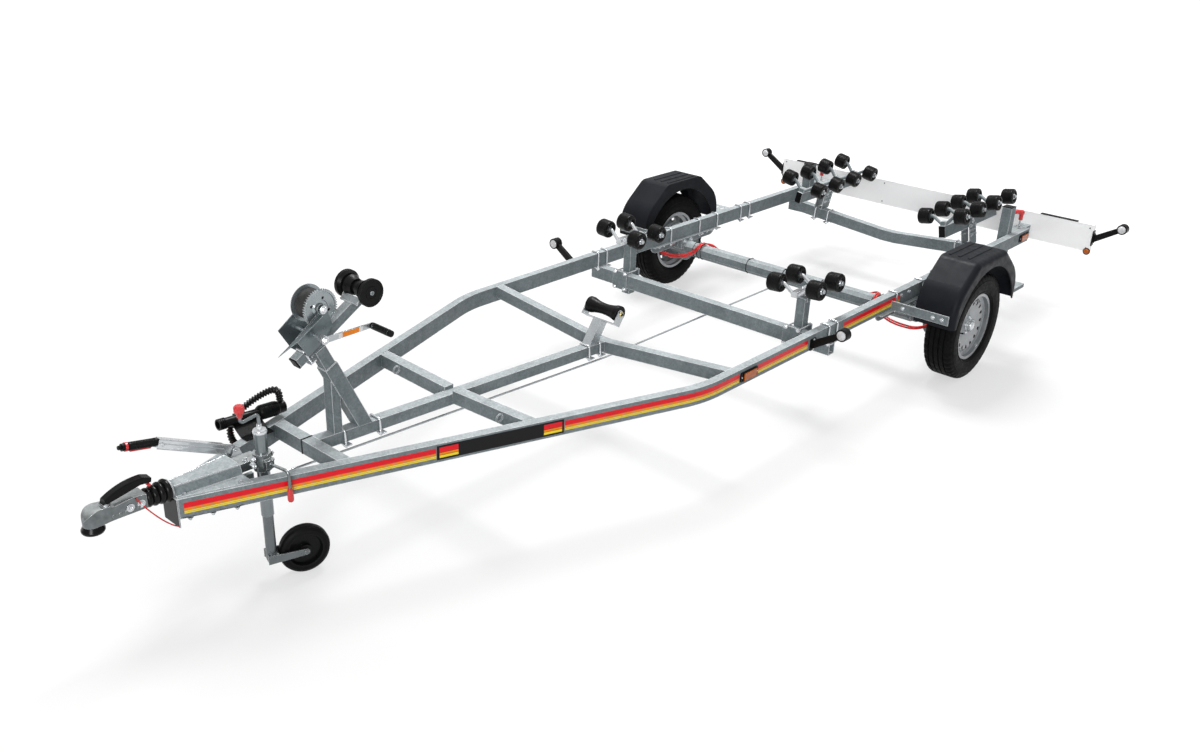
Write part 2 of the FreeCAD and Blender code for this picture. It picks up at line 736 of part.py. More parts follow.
def coupling_head():
    tall, wide, nose = S.head_top + S.head_bottom, S.head_half_width, S.socket_radius + S.head_wall
    top = [(head_rear_x + head_length * x, head_low + tall * z) for x, z in HEAD_TOP_SHARES]
    front_x = head_rear_x + head_length
    side = plate("head_side", "XZ_Plane", [
        (head_rear_x, head_low), *top, (front_x, head_low + tall * HEAD_NOSE_SHARE), (front_x, head_low),
    ], wide * 4, arcs={3: S.head_top * 3, 4: S.head_top * 1.4})
    plan = plate("head_plan", "XY_Plane", [
        (head_rear_x, wide), (head_rear_x, -wide), (head_rear_x + head_length * 0.55, -wide * 0.9),
        (socket_x, -nose), (socket_x, nose), (head_rear_x + head_length * 0.55, wide * 0.9),
    ], S.overall_length, arcs={3: -nose})
    outer = doc.addObject("Part::Common", "head_outer")
    outer.Base, outer.Tool = side, plan
    lug_x = handle_place()[0] - S.handle_lug_length / 2
    lug_top = handle_place()[1] - S.seat_gap
    lug = block("handle_lug", lug_x, ZERO, (head_low + lug_top) / 2,
                S.handle_lug_length, S.handle_lug_width, lug_top - head_low)
    socket = cylinder("socket", S.socket_radius, S.socket_depth, socket_x, ZERO, head_low)
    return cut("coupling_head", fuse("head_with_lug", [outer, lug]), socket)


def handle_place():
    """Front foot of the release handle, just above the hood."""
    return (head_rear_x + head_length * 0.66, drawbar_z + S.head_top + S.seat_gap)


def coupling_handle():
    front_x, low = handle_place()
    long, tall = S.handle_length, S.handle_height
    outline = [(-long * x, tall * z) for x, z in HANDLE_UNDER_SHARES + HANDLE_OVER_SHARES]
    body = plate("coupling_handle", "XZ_Plane", outline, S.handle_width, arcs={4: long * 1.4})
    near, short = S.seat_gap.value, S.handle_width.value
    rounded(body, body.Tip, S.handle_edge_radius, lambda box: (
        box.YLength < near and box.XLength > short and box.ZMax > tall.value / 2))
    return place(body, front_x, ZERO, low)


def coupling_rubbers():
    low = head_low - S.buffer_height - S.seat_gap
    tall, lip = S.buffer_height, S.buffer_radius - S.head_wall / 2
    ring = turned("buffer_ring", "XZ_Plane", "Z_Axis", [
        (S.buffer_bore_radius, ZERO), (lip, ZERO), (S.buffer_radius, tall * 0.2),
        (S.buffer_radius, tall * 0.4), (S.socket_radius + S.head_wall, tall), (S.buffer_bore_radius, tall),
    ])
    place(ring, socket_x, ZERO, low)
    ribs = 4
    length = S.bellows_length - S.nose_plate_wall - S.seat_gap * 2
    step = length / ribs
    grow = (S.bellows_radius_rear - S.bellows_radius_front) / ribs
    bulge = S.bellows_groove
    crest = (step * step / 4 + bulge * bulge) / bulge / 2
    corners = [(ZERO, S.drawbar_radius + S.seat_gap)]
    corners += [(step * i, S.bellows_radius_rear - bulge - grow * i) for i in range(ribs + 1)]
    corners.append((length, S.drawbar_radius + S.seat_gap))
    bellows = turned("bellows", "XZ_Plane", "X_Axis", corners,
                     arcs={i: crest for i in range(1, ribs + 1)})
    place(bellows, nose_x + S.nose_plate_wall + S.seat_gap * 2, ZERO, drawbar_z)
    return group("coupling_rubbers", [ring, bellows])


keep(coupling_head(), coupling_handle(), coupling_rubbers())


# Jockey wheel: clamp on the drawbar, height tube with its crank, swivelling fork and wheel

jockey_x = nose_x - S.jockey_run
clamp_bore = S.jockey_outer_radius + S.fit_gap


def jockey_clamp():
    """Clamp collar with its split lugs, the bracket onto the cover, and the screw with its lever."""
    tall, low = S.jockey_clamp_height, S.jockey_clamp_centre - S.jockey_clamp_height / 2
    collar = cylinder("jockey_collar", S.jockey_clamp_radius, tall, jockey_x, S.jockey_offset, low)
    tongue_run = S.jockey_run - S.cover_length
    tongue = block("jockey_tongue", jockey_x + (tongue_run + S.cover_lip) / 2,
                   S.jockey_offset - S.jockey_clamp_radius - S.cover_lip / 2,
                   S.beam_top + S.cover_rise - tall / 4,
                   tongue_run + S.cover_lip, S.jockey_clamp_radius * 2, tall / 2)
    lug_y = S.jockey_offset + S.jockey_clamp_radius
    lug = block("clamp_lug", jockey_x, lug_y, S.jockey_clamp_centre,
                S.clamp_lug_size, S.clamp_lug_size, S.clamp_lug_size)
    casting = fuse("clamp_casting", [collar, tongue, lug])
    hole = cylinder("clamp_bore", clamp_bore, tall * 2, jockey_x, S.jockey_offset, low - tall / 2)
    start = point(jockey_x, S.jockey_offset + clamp_bore + S.jockey_wall, S.jockey_clamp_centre)
    out = start + Vector(-S.clamp_screw_back.value, S.clamp_screw_reach.value, 0)
    drop = out - Vector(0, 0, S.clamp_lever_drop.value - S.clamp_grip_length.value)
    lever = feature("clamp_lever", round_rod([start, out, drop], S.crank_rod_radius.value,
                                             [S.crank_rod_radius.value * 3]))
    return fuse("jockey_clamp", [cut("clamp_bored", casting, hole), lever])


def jockey_tube():
    tall = S.jockey_top - S.jockey_outer_bottom
    shell = turned("jockey_shell", "XZ_Plane", "Z_Axis", [
        (S.jockey_inner_radius + S.fit_gap, ZERO), (S.jockey_outer_radius, ZERO),
        (S.jockey_outer_radius, tall), (ZERO, tall), (ZERO, tall - S.jockey_wall),
        (S.jockey_inner_radius + S.fit_gap, tall - S.jockey_wall),
    ])
    place(shell, jockey_x, S.jockey_offset, S.jockey_outer_bottom)
    foot = point(jockey_x, S.jockey_offset, S.jockey_top - S.jockey_wall / 2)
    elbow = foot + Vector(0, 0, S.crank_rise.value)
    bend = S.crank_rod_radius.value * 2
    end = elbow + Vector(S.crank_reach.value, 0, -bend)
    rod = feature("jockey_crank_rod", round_rod([foot, elbow, end, end + Vector(0, 0, bend * 2)],
                                                S.crank_rod_radius.value, [bend, bend]))
    return fuse("jockey_tube", [shell, rod])


def red_grips():
    """Knob on the height crank and grip on the clamp's lever."""
    wide, tall = S.knob_radius, S.knob_height
    knob = turned("crank_knob", "XZ_Plane", "Z_Axis", [
        (ZERO, ZERO), (wide * 0.6, ZERO), (wide * 0.6, tall * 0.3), (wide, tall * 0.5),
        (wide, tall * 0.9), (wide * 0.8, tall), (ZERO, tall),
    ])
    place(knob, jockey_x + S.crank_reach, S.jockey_offset,
          S.jockey_top - S.jockey_wall / 2 + S.crank_rise + S.crank_rod_radius * 2 + S.seat_gap)
    size, long = S.clamp_grip_radius, S.clamp_grip_length
    grip = turned("clamp_grip", "XZ_Plane", "Z_Axis", [
        (ZERO, ZERO), (size * 0.6, ZERO), (size, size), (size * 0.8, long), (ZERO, long),
    ])
    place(grip, jockey_x - S.clamp_screw_back,
          S.jockey_offset + clamp_bore + S.jockey_wall + S.clamp_screw_reach,
          S.jockey_clamp_centre - S.clamp_lever_drop - S.seat_gap)
    return group("red_grips", [knob, grip])


def jockey_fork():
    """Stem, cranked fork arms with rounded ends, bridge and wheel pin."""
    tall = S.jockey_outer_bottom + S.jockey_clamp_height - S.jockey_inner_bottom
    stem = cylinder("jockey_stem", S.jockey_inner_radius, tall, ZERO, ZERO, S.jockey_inner_bottom)
    inside = S.jockey_wheel_width / 2 + S.jockey_fork_gap
    half = S.jockey_fork_height / 2
    arms = []
    for name, way in (("left", 1), ("right", -1)):
        arm = plate(f"fork_arm_{name}", "XZ_Plane", [
            (-S.jockey_trail, -half * 0.7), (S.jockey_inner_radius, -half), (S.jockey_inner_radius, half),
            (-S.jockey_trail, half * 0.7),
        ], S.jockey_fork_wall, arcs={3: -half * 0.7})
        arms.append(place(arm, y=(inside + S.jockey_fork_wall / 2) * way, z=S.jockey_wheel_radius))
    bridge = block("fork_bridge", ZERO, ZERO, S.jockey_wheel_radius, S.jockey_fork_height,
                   inside * 2, S.jockey_fork_height)
    axle = pin("jockey_axle", S.jockey_pin_radius, -S.jockey_trail,
               -inside - S.jockey_fork_wall * 2, inside + S.jockey_fork_wall * 2, S.jockey_wheel_radius)
    return fuse("jockey_fork_straight", [stem, *arms, bridge, axle])


def jockey_wheel():
    half, radius, hub = S.jockey_wheel_width / 2, S.jockey_wheel_radius, S.jockey_hub_radius
    bore, web = S.jockey_pin_radius + S.fit_gap, S.jockey_wheel_width / 8
    wheel = turned("jockey_wheel_straight", "XY_Plane", "Y_Axis", [
        (bore, -half), (hub, -half), (hub, -web), (radius * 0.66, -web), (radius * 0.7, -half * 0.9),
        (radius * 0.86, -half), (radius * 0.96, -half * 0.8), (radius, -half * 0.4),
        (radius, half * 0.4), (radius * 0.96, half * 0.8), (radius * 0.86, half),
        (radius * 0.7, half * 0.9), (radius * 0.66, web), (hub, web), (hub, half), (bore, half),
    ])
    return place(wheel, -S.jockey_trail, ZERO, radius)


def swivelled(label, source):
    """A piece of the jockey fork, turned with it to its parked angle."""
    holder = group(label, [source])
    return place(holder, jockey_x, S.jockey_offset, ZERO, Vector(0, 0, 1), -S.jockey_swivel_angle)


keep(jockey_clamp(), jockey_tube(), red_grips(), swivelled("jockey_fork", jockey_fork()),
     swivelled("jockey_wheel", jockey_wheel()))


# Handbrake lever beside the drawbar cover, pointing forward

brake_x = nose_x - S.brake_pivot_run
brake_y = -S.brake_pivot_offset


def handbrake():
    """Channel-section lever with its drooping grip, and the bracket with the pivot pin."""
    tilt, long, tall = S.brake_lever_tilt, S.brake_lever_length, S.brake_lever_height
    wall, half = S.brake_lever_wall, S.brake_lever_width / 2
    bore = S.brake_pin_radius + S.fit_gap
    arm = plate("lever_arm", "XZ_Plane", [
        (ZERO, tall / 2), (ZERO, -tall / 2), (long, -tall / 3), (long, tall / 3),
    ], half * 2, arcs={0: -tall / 2}, holes=[(ZERO, ZERO, bore)])
    hollow = plate("lever_hollow", "XZ_Plane", [
        (tall, tall / 2 - wall), (tall, -tall), (long - tall, -tall), (long - tall, tall / 3 - wall),
    ], (half - wall) * 2)
    lever = cut("lever_channel", arm, hollow)
    place(lever, brake_x, brake_y, S.brake_pivot_height, ENDWAYS, -tilt)
    grip_tilt, thick = tilt - S.brake_grip_droop, S.brake_grip_radius
    grip = turned("lever_grip", "XZ_Plane", "X_Axis", [
        (-thick, ZERO), (-thick, thick * 0.8), (ZERO, thick), (S.brake_grip_length, thick * 0.8),
        (S.brake_grip_length, ZERO),
    ])
    place(grip, brake_x + long * cosine(tilt), brake_y, S.brake_pivot_height + long * sine(tilt),
          ENDWAYS, -grip_tilt)
    foot = S.beam_top + S.seat_gap
    high = S.brake_pivot_height + tall / 2 - foot
    ears = []
    for name, way in (("left", 1), ("right", -1)):
        ear = plate(f"brake_ear_{name}", "XZ_Plane", [
            (-tall * 0.8, ZERO), (tall * 0.8, ZERO),
            (tall / 2, high - tall / 2), (-tall / 2, high - tall / 2),
        ], S.brake_ear_wall, arcs={2: -tall / 2})
        away = half + S.brake_ear_wall / 2 + S.bow_ear_gap
        ears.append(place(ear, brake_x, brake_y + away * way, foot))
    reach = half + S.brake_ear_wall * 2 + S.bow_ear_gap
    rod = pin("brake_pin", S.brake_pin_radius, brake_x, brake_y - reach, brake_y + reach,
              S.brake_pivot_height)
    base = block("brake_base", brake_x, brake_y - S.brake_lever_width, foot + S.brake_ear_wall / 2,
                 tall * 1.6, S.brake_lever_width * 4, S.brake_ear_wall)
    return fuse("handbrake_lever", [lever, grip]), fuse("handbrake_bracket", [*ears, rod, base])


keep(*handbrake())


# Winch post: leaning square tube on the spine, telescoped, with a vertical strut

post_x = nose_x - S.post_foot_run
post_foot_z = spine_top(S.post_foot_run)
post_long = S.post_length
collar_x = post_x + post_long * sine(S.post_lean)
collar_z = post_foot_z + post_long * cosine(S.post_lean)
head_x = collar_x + S.arm_above_collar * sine(S.post_lean)
head_z = collar_z + S.arm_above_collar * cosine(S.post_lean)


def winch_post():
    sunk = S.post_size / 2
    outer = plate("post_outer", "XZ_Plane", [
        (-S.post_size / 2, -sunk), (S.post_size / 2, -sunk), (S.post_size / 2, post_long),
        (-S.post_size / 2, post_long),
    ], S.post_size)
    place(outer, post_x, ZERO, post_foot_z, ENDWAYS, S.post_lean)
    inner = plate("post_inner", "XZ_Plane", [
        (-S.inner_post_size / 2, post_long), (S.inner_post_size / 2, post_long),
        (S.inner_post_size / 2, post_long + S.inner_post_reach - S.seat_gap),
        (-S.inner_post_size / 2, post_long + S.inner_post_reach - S.seat_gap),
    ], S.inner_post_size)
    place(inner, post_x, ZERO, post_foot_z, ENDWAYS, S.post_lean)
    strut_x = nose_x - S.strut_run
    strut_foot = spine_top(S.strut_run)
    strut_tall = (strut_x - post_x) / tangent(S.post_lean)
    strut = plate("post_strut", "XZ_Plane", [
        (strut_x - S.strut_size / 2, strut_foot - sunk), (strut_x + S.strut_size / 2, strut_foot - sunk),
        (strut_x + S.strut_size / 2, strut_foot + strut_tall),
        (strut_x - S.strut_size / 2, strut_foot + strut_tall),
    ], S.inner_post_size)
    whole = fuse("post_whole", [outer, inner, strut])
    foot = plate("post_foot_cut", "XZ_Plane", [
        (nose_x - spine_front_run, S.beam_top + S.seat_gap),
        (nose_x - spine_rear_run, S.beam_top - S.spine_end_drop + S.seat_gap),
        (nose_x - spine_rear_run, beam_bottom - S.beam_height),
        (nose_x - spine_front_run, beam_bottom - S.beam_height),
    ], S.overall_length)
    return cut("winch_post", whole, foot)


def on_arm(obj, x=ZERO, y=ZERO, z=ZERO):
    """Put a piece drawn along the bow arm (x forward, z square to it) at its real place."""
    tilt = S.arm_tilt
    return place(obj, head_x + x * cosine(tilt) + z * sine(tilt), y,
                 head_z - x * sine(tilt) + z * cosine(tilt), ENDWAYS, tilt)


def bow_arm():
    half = S.arm_size / 2
    bar = plate("arm_tube", "XZ_Plane", [
        (S.arm_front, -half), (S.arm_front, half), (-S.arm_rear, half), (-S.arm_rear, -half),
    ], S.arm_size)
    on_arm(bar)
    inside = half - S.tube_wall
    mouth = plate("arm_mouth", "XZ_Plane", [
        (S.arm_front, -inside), (S.arm_front, inside),
        (S.arm_front - S.open_end_depth, inside), (S.arm_front - S.open_end_depth, -inside),
    ], inside * 2)
    on_arm(mouth)
    tube = cut("arm_open_tube", bar, mouth)
    ears = []
    for name, way in (("left", 1), ("right", -1)):
        ear = plate(f"bow_ear_{name}", "XZ_Plane", [
            (-S.arm_rear + S.bow_ear_width, half - S.tube_wall), (-S.arm_rear, half - S.tube_wall),
            (-S.bow_axis_back - S.bow_ear_width / 2, S.bow_axis_rise - S.bow_ear_width / 2),
            (-S.bow_axis_back - S.bow_ear_width / 2, S.bow_axis_rise + S.bow_ear_width / 2),
            (-S.bow_axis_back + S.bow_ear_width / 2, S.bow_axis_rise + S.bow_ear_width / 2),
        ], S.bow_ear_wall)
        ears.append(on_arm(ear, y=S.bow_ear_offset * way))
    base = plate("bow_base", "XZ_Plane", [
        (-S.arm_rear + S.bow_ear_width, half - S.tube_wall), (-S.arm_rear, half - S.tube_wall),
        (-S.arm_rear, half + S.bow_ear_wall), (-S.arm_rear + S.bow_ear_width, half + S.bow_ear_wall),
    ], S.bow_ear_offset * 2)
    on_arm(base)
    axle = cylinder("bow_axle", S.axle_pin_radius, S.bow_half_width * 2 + S.bow_ear_wall * 2,
                    ZERO, ZERO, ZERO)
    axis_x, axis_z = bow_axis()
    place(axle, axis_x, -S.bow_half_width - S.bow_ear_wall, axis_z, SIDEWAYS, -RIGHT_ANGLE)
    return fuse("bow_arm", [tube, *ears, base, axle])


def bow_axis():
    tilt = S.arm_tilt
    x = head_x - S.bow_axis_back * cosine(tilt) + S.bow_axis_rise * sine(tilt)
    z = head_z + S.bow_axis_back * sine(tilt) + S.bow_axis_rise * cosine(tilt)
    return x, z


def bow_roller():
    bore, rim, waist = S.axle_pin_radius + S.fit_gap, S.bow_disc_radius, S.bow_waist_radius
    gap = S.bow_ear_wall / 2 + S.bow_ear_gap
    inner, outer = S.bow_ear_offset - gap, S.bow_ear_offset + gap
    slim, flare = waist * 0.9, waist * 1.3
    corners = [(bore, -inner), (flare, -inner), (waist, -waist / 2), (waist, waist / 2),
               (flare, inner), (bore, inner)]
    spool = turned("bow_spool", "XY_Plane", "Y_Axis", corners)
    discs = []
    for name, way in (("left", 1), ("right", -1)):
        discs.append(turned(f"bow_disc_{name}", "XY_Plane", "Y_Axis", [
            (bore, outer * way), (slim * 2, outer * way), (rim, (S.bow_half_width - S.bow_rim_width) * way),
            (rim, S.bow_half_width * way), (bore, S.bow_half_width * way),
        ]))
    axis_x, axis_z = bow_axis()
    roller = group("bow_roller", [spool, *discs])
    return place(roller, axis_x, ZERO, axis_z)


keep(winch_post(), bow_arm(), bow_roller())


# Winch: two side plates, a drum with its toothed wheel, and the crank with its pinion

gear_pitch_radius = S.gear_module * S.gear_teeth / 2
pinion_pitch_radius = S.gear_module * S.pinion_teeth / 2
mesh_distance = gear_pitch_radius + pinion_pitch_radius
pinion_along = mesh_distance * cosine(S.mesh_angle) - S.drum_back
pinion_rise = S.drum_rise - mesh_distance * sine(S.mesh_angle)

# Tooth spaces, as shares of the module
ROOT_DEPTH_SHARE = 1.2
TIP_HEIGHT_SHARE = 0.85
FLANK_SLOPE_SHARE = 0.36


def along_arm(x, z):
    """A point of the bow arm's frame, in the trailer's."""
    tilt = S.arm_tilt
    return head_x + x * cosine(tilt) + z * sine(tilt), head_z - x * sine(tilt) + z * cosine(tilt)


def drum_axis():
    return along_arm(-S.drum_back, S.drum_rise)


def pinion_axis():
    return along_arm(pinion_along, pinion_rise)


def toothed_wheel(label, pitch_radius, count, width):
    """A spur gear with straight-sided tooth spaces; the first space is centred on its own X axis."""
    module = S.gear_module
    tip, root = pitch_radius + module * TIP_HEIGHT_SHARE, pitch_radius - module * ROOT_DEPTH_SHARE
    wheel = new_body(label)
    blank = new_sketch(wheel, "XZ_Plane")
    add_circle(blank, ZERO, ZERO, tip)
    pad(wheel, blank, width, symmetric=True)
    half_gap = pitch_radius * math.pi / count / 2 + S.gear_backlash / 2
    slope, over = FLANK_SLOPE_SHARE, module
    space = new_sketch(wheel, "XZ_Plane")
    wide = half_gap + (tip + over - pitch_radius) * slope
    slim = half_gap - (pitch_radius - root) * slope
    add_outline(space, [(root, -slim), (tip + over, -wide), (tip + over, wide), (root, slim)])
    cutter = pocket(wheel, space, symmetric=True)
    polar_pattern(wheel, cutter, "Y_Axis", count)
    return wheel


def winch_frame():
    low, lobe = S.arm_size / 2 + S.seat_gap, S.winch_lobe_radius
    bore, wall = S.axle_pin_radius + S.fit_gap, S.winch_plate_wall
    rear = -S.winch_plate_rear
    pieces = []
    for name, way in (("left", 1), ("right", -1)):
        side = plate(f"winch_plate_{name}", "XZ_Plane", [
            (S.winch_plate_front, low), (S.winch_plate_front, S.winch_plate_top),
            (lobe - S.drum_back, S.drum_rise), (-lobe - S.drum_back, S.drum_rise),
            (rear, S.winch_plate_step), (-lobe, low),
        ], wall, arcs={2: -lobe}, holes=[(pinion_along, pinion_rise, bore)])
        pieces.append(on_arm(side, y=S.winch_plate_gap * way))
    tongue = plate("winch_tongue", "XY_Plane", [
        (lobe - S.drum_back, ZERO), (S.winch_tongue_reach, ZERO),
        (S.winch_plate_front, S.winch_tongue_width),
        (lobe - S.drum_back, S.winch_tongue_width),
    ], wall, symmetric=False)
    pieces.append(on_arm(tongue, y=S.winch_plate_gap, z=S.winch_plate_top - wall))
    base = plate("winch_base", "XZ_Plane", [
        (S.winch_plate_front, low), (S.winch_plate_front, low + wall), (-lobe, low + wall), (-lobe, low),
    ], S.winch_plate_gap * 2)
    pieces.append(on_arm(base))
    x, z = drum_axis()
    reach = S.winch_plate_gap + wall * 3
    pieces.append(pin("drum_axle", S.axle_pin_radius, x, -reach, reach, z))
    return fuse("winch_frame", pieces)


def winch_drum():
    """Strap drum and toothed wheel in one, the wheel turned so that its teeth meet the pinion's."""
    half, wall, width = S.drum_half_width, S.drum_flange_wall, S.gear_width
    x, z = drum_axis()
    core = turned("drum_core", "XY_Plane", "Y_Axis", [
        (ZERO, -half), (S.drum_flange_radius, -half), (S.drum_flange_radius, wall - half),
        (S.drum_radius, wall - half), (S.drum_radius, half), (ZERO, half),
    ])
    place(core, x, ZERO, z)
    gear = toothed_wheel("gear_ring", gear_pitch_radius, S.gear_teeth, width)
    turn = S.arm_tilt + S.mesh_angle
    place(gear, x, half + width / 2, z, ENDWAYS, turn)
    face, hub = half + width, S.gear_hub_radius
    recess = turned("gear_recess", "XY_Plane", "Y_Axis", [
        (hub * 1.4, face - S.gear_web_wall), (hub * 2.6, face - S.gear_web_wall), (hub * 2.7, face),
        (hub * 2.7, face + width), (hub * 1.2, face + width), (hub * 1.2, face),
    ])
    place(recess, x, ZERO, z)
    boss = turned("gear_boss", "XY_Plane", "Y_Axis", [
        (ZERO, face - width / 2), (hub, face - width / 2), (hub * 0.6, half + S.gear_hub_width),
        (ZERO, half + S.gear_hub_width),
    ])
    place(boss, x, ZERO, z)
    step = 360 / S.gear_hole_count
    holes = [
        pin(f"gear_hole_{i}", S.gear_hole_radius, x + S.gear_hole_place * cosine(turn + step * i),
            half - width, face + width, z - S.gear_hole_place * sine(turn + step * i))
        for i in range(int(S.gear_hole_count.value))
    ]
    solid = fuse("drum_solid", [core, cut("gear_dished", gear, recess), boss])
    bore = pin("drum_bore", S.axle_pin_radius + S.fit_gap, x, -half * 2, half * 2, z)
    return cut("winch_drum", solid, fuse("drum_cuts", [*holes, bore]))


def winch_crank():
    """Crank with its shaft and pinion; the arm is cranked and carries a turned grip."""
    x, z = pinion_axis()
    half, wall = S.drum_half_width, S.crank_arm_wall
    start, end = -S.winch_plate_gap - S.winch_plate_wall * 2, S.winch_plate_gap + S.crank_shaft_reach
    shaft = pin("crank_shaft", S.axle_pin_radius, x, start, end, z)
    pinion = toothed_wheel("pinion_ring", pinion_pitch_radius, S.pinion_teeth, S.gear_width)
    half_tooth = 180 / S.pinion_teeth
    place(pinion, x, half + S.gear_width / 2, z, ENDWAYS, S.arm_tilt + S.mesh_angle + 180 + half_tooth)
    hub = pin("crank_hub", S.crank_hub_radius, x, end - S.crank_hub_radius * 1.5, end - wall, z)
    long, wide = S.crank_arm_length, S.crank_arm_width / 2
    arm = plate("crank_arm", "XZ_Plane", [
        (ZERO, wide), (ZERO, -wide), (-long, -wide * 0.8), (-long, wide * 0.8),
    ], wall, arcs={0: wide, 2: wide * 0.8})
    place(arm, x, end - wall / 2, z)
    size, grip_long = S.crank_grip_radius, S.crank_grip_length
    grip = turned("crank_grip", "XY_Plane", "Y_Axis", [
        (ZERO, ZERO), (size * 0.9, ZERO), (size, grip_long * 0.1), (size * 0.85, grip_long * 0.5),
        (size, grip_long * 0.9), (size * 0.8, grip_long), (ZERO, grip_long),
    ])
    place(grip, x - long, end, z)
    return fuse("winch_crank", [shaft, pinion, hub, arm, grip])


keep(winch_frame(), winch_drum(), winch_crank())


# Keel roller on its leaning post at the rear end of the spine

keel_x = nose_x - S.keel_post_run
keel_foot_z = spine_top(S.keel_post_run)


def keel_axis():
    reach = S.keel_post_length + S.keel_axis_rise
    return (keel_x - reach * sine(S.keel_post_lean), keel_foot_z + reach * cosine(S.keel_post_lean))


def keel_post():
    half, wall = S.keel_post_size / 2, S.keel_ear_wall
    top = S.keel_post_length
    tube = plate("keel_tube", "XZ_Plane", [
        (-half, -S.keel_post_size), (half, -S.keel_post_size), (half, top), (-half, top),
    ], S.keel_post_size)
    inside = S.keel_roller_half + S.keel_ear_gap
    parts = [tube]
    bottom = plate("keel_bracket_base", "XZ_Plane", [
        (-S.keel_ear_width / 2, top), (S.keel_ear_width / 2, top),
        (S.keel_ear_width / 2, top + wall), (-S.keel_ear_width / 2, top + wall),
    ], inside * 2 + wall * 2)
    parts.append(bottom)
    for name, way in (("left", 1), ("right", -1)):
        ear = plate(f"keel_ear_{name}", "XZ_Plane", [
            (-S.keel_ear_width / 2, top), (S.keel_ear_width / 2, top),
            (S.keel_ear_width / 2, top + S.keel_axis_rise), (-S.keel_ear_width / 2, top + S.keel_axis_rise),
        ], wall)
        parts.append(ear)
        place(ear, y=(inside + wall / 2) * way)
    whole = fuse("keel_post_upright", parts)
    place(whole, keel_x, ZERO, keel_foot_z, ENDWAYS, -S.keel_post_lean)
    x, z = keel_axis()
    axle = pin("keel_axle", S.axle_pin_radius, x, -inside - wall * 2, inside + wall * 2, z)
    joined = fuse("keel_post_joined", [whole, axle])
    ground = plate("keel_foot_cut", "XZ_Plane", [
        (nose_x - spine_front_run, S.beam_top + S.seat_gap),
        (nose_x - spine_rear_run, S.beam_top - S.spine_end_drop + S.seat_gap),
        (nose_x - spine_rear_run, beam_bottom - S.beam_height),
        (nose_x - spine_front_run, beam_bottom - S.beam_height),
    ], S.spine_size * 2)
    return cut("keel_post", joined, ground)


def keel_roller():
    bore, end, waist, half = (S.axle_pin_radius + S.fit_gap, S.keel_roller_radius,
                              S.keel_waist_radius, S.keel_roller_half)
    roller = turned("keel_roller", "XY_Plane", "Y_Axis", [
        (bore, -half), (end, -half), (end, -half * 0.8), (end, half * 0.8), (end, half), (bore, half),
    ], arcs={2: (half * half * 0.64 + (end - waist) * (end - waist)) / (end - waist) / 2})
    x, z = keel_axis()
    return place(roller, x, ZERO, z)


keep(keel_post(), keel_roller())


# Hull rollers: pairs on bent rods. A set's frame has x forward, y along its tilted axles.

def roller_pair(label, set_x, set_y, set_z, tilt, shift):
    """Two rollers on one rod, turning about its axis."""
    radius, half = S.hull_roller_radius, S.hull_roller_width / 2
    bore, dish = S.rod_radius + S.fit_gap, S.hull_roller_dish
    rollers = []
    for name, way in (("outer", 1), ("inner", -1)):
        middle = S.hull_roller_spacing / 2 * way
        rollers.append(turned(f"{label}_{name}", "XY_Plane", "Y_Axis", [
            (bore, middle - half + dish), (radius * 0.55, middle - half + dish),
            (radius * 0.72, middle - half), (radius * 0.9, middle - half),
            (radius, middle - half * 0.8), (radius, middle + half * 0.8),
            (radius * 0.9, middle + half), (radius * 0.72, middle + half),
            (radius * 0.55, middle + half - dish), (bore, middle + half - dish),
        ]))
    pair = group(label, rollers)
    return place(pair, set_x + shift, set_y, set_z, SIDEWAYS, tilt)


def bent_rod(label, dip, shift):
    """A roller rod: straight ends on one axis, dipping in the middle to its cradle."""
    stub = (S.hull_roller_spacing + S.hull_roller_width) / 2 + S.rod_end_reach
    near = (S.hull_roller_spacing - S.hull_roller_width) / 2 - S.rod_radius
    low = S.cradle_width / 2
    x = sized(shift).value
    points = [Vector(x, y.value, z.value) for y, z in (
        (-stub, ZERO), (-near, ZERO), (-low, -dip), (low, -dip), (near, ZERO), (stub, ZERO))]
    bend = S.rod_radius.value * 1.2
    return feature(label, round_rod(points, S.rod_radius.value, [bend] * 4))


def mid_set(side, way):
    set_x = nose_x - S.bunk_run - S.bunk_width / 2 - S.seat_gap - S.mid_post_size / 2
    set_y, tilt = (S.frame_half_width - S.mid_set_inset) * way, S.mid_tilt * way
    shifts = {"front": S.mid_pitch / 2, "rear": -S.mid_pitch / 2}
    for name, shift in shifts.items():
        keep(roller_pair(f"mid_rollers_{side}_{name}", set_x, set_y, S.mid_axis_height, tilt, shift))
    rods = [bent_rod(f"mid_rod_{side}_{name}", S.mid_dip, shift) for name, shift in shifts.items()]
    body = block(f"mid_cradle_block_{side}", ZERO, ZERO, -S.mid_dip, S.mid_pitch + S.cradle_width,
                 S.cradle_width, S.cradle_height)
    eye = pin(f"mid_cradle_eye_{side}", S.cradle_height * 0.6, ZERO, -S.cradle_width / 2,
              S.cradle_width / 2, -S.mid_dip - S.cradle_height / 2)
    bore = pin(f"mid_cradle_bore_{side}", S.rocker_pin_radius + S.fit_gap, ZERO, -S.mid_post_size,
               S.mid_post_size, -S.mid_dip - S.cradle_height / 2)
    solid = cut(f"mid_cradle_bored_{side}", fuse(f"mid_cradle_solid_{side}", [body, eye, *rods]), bore)
    cradle = group(f"mid_cradle_{side}", [solid])
    keep(place(cradle, set_x, set_y, S.mid_axis_height, SIDEWAYS, tilt))
    return mid_post(side, way, set_x, set_y, tilt)


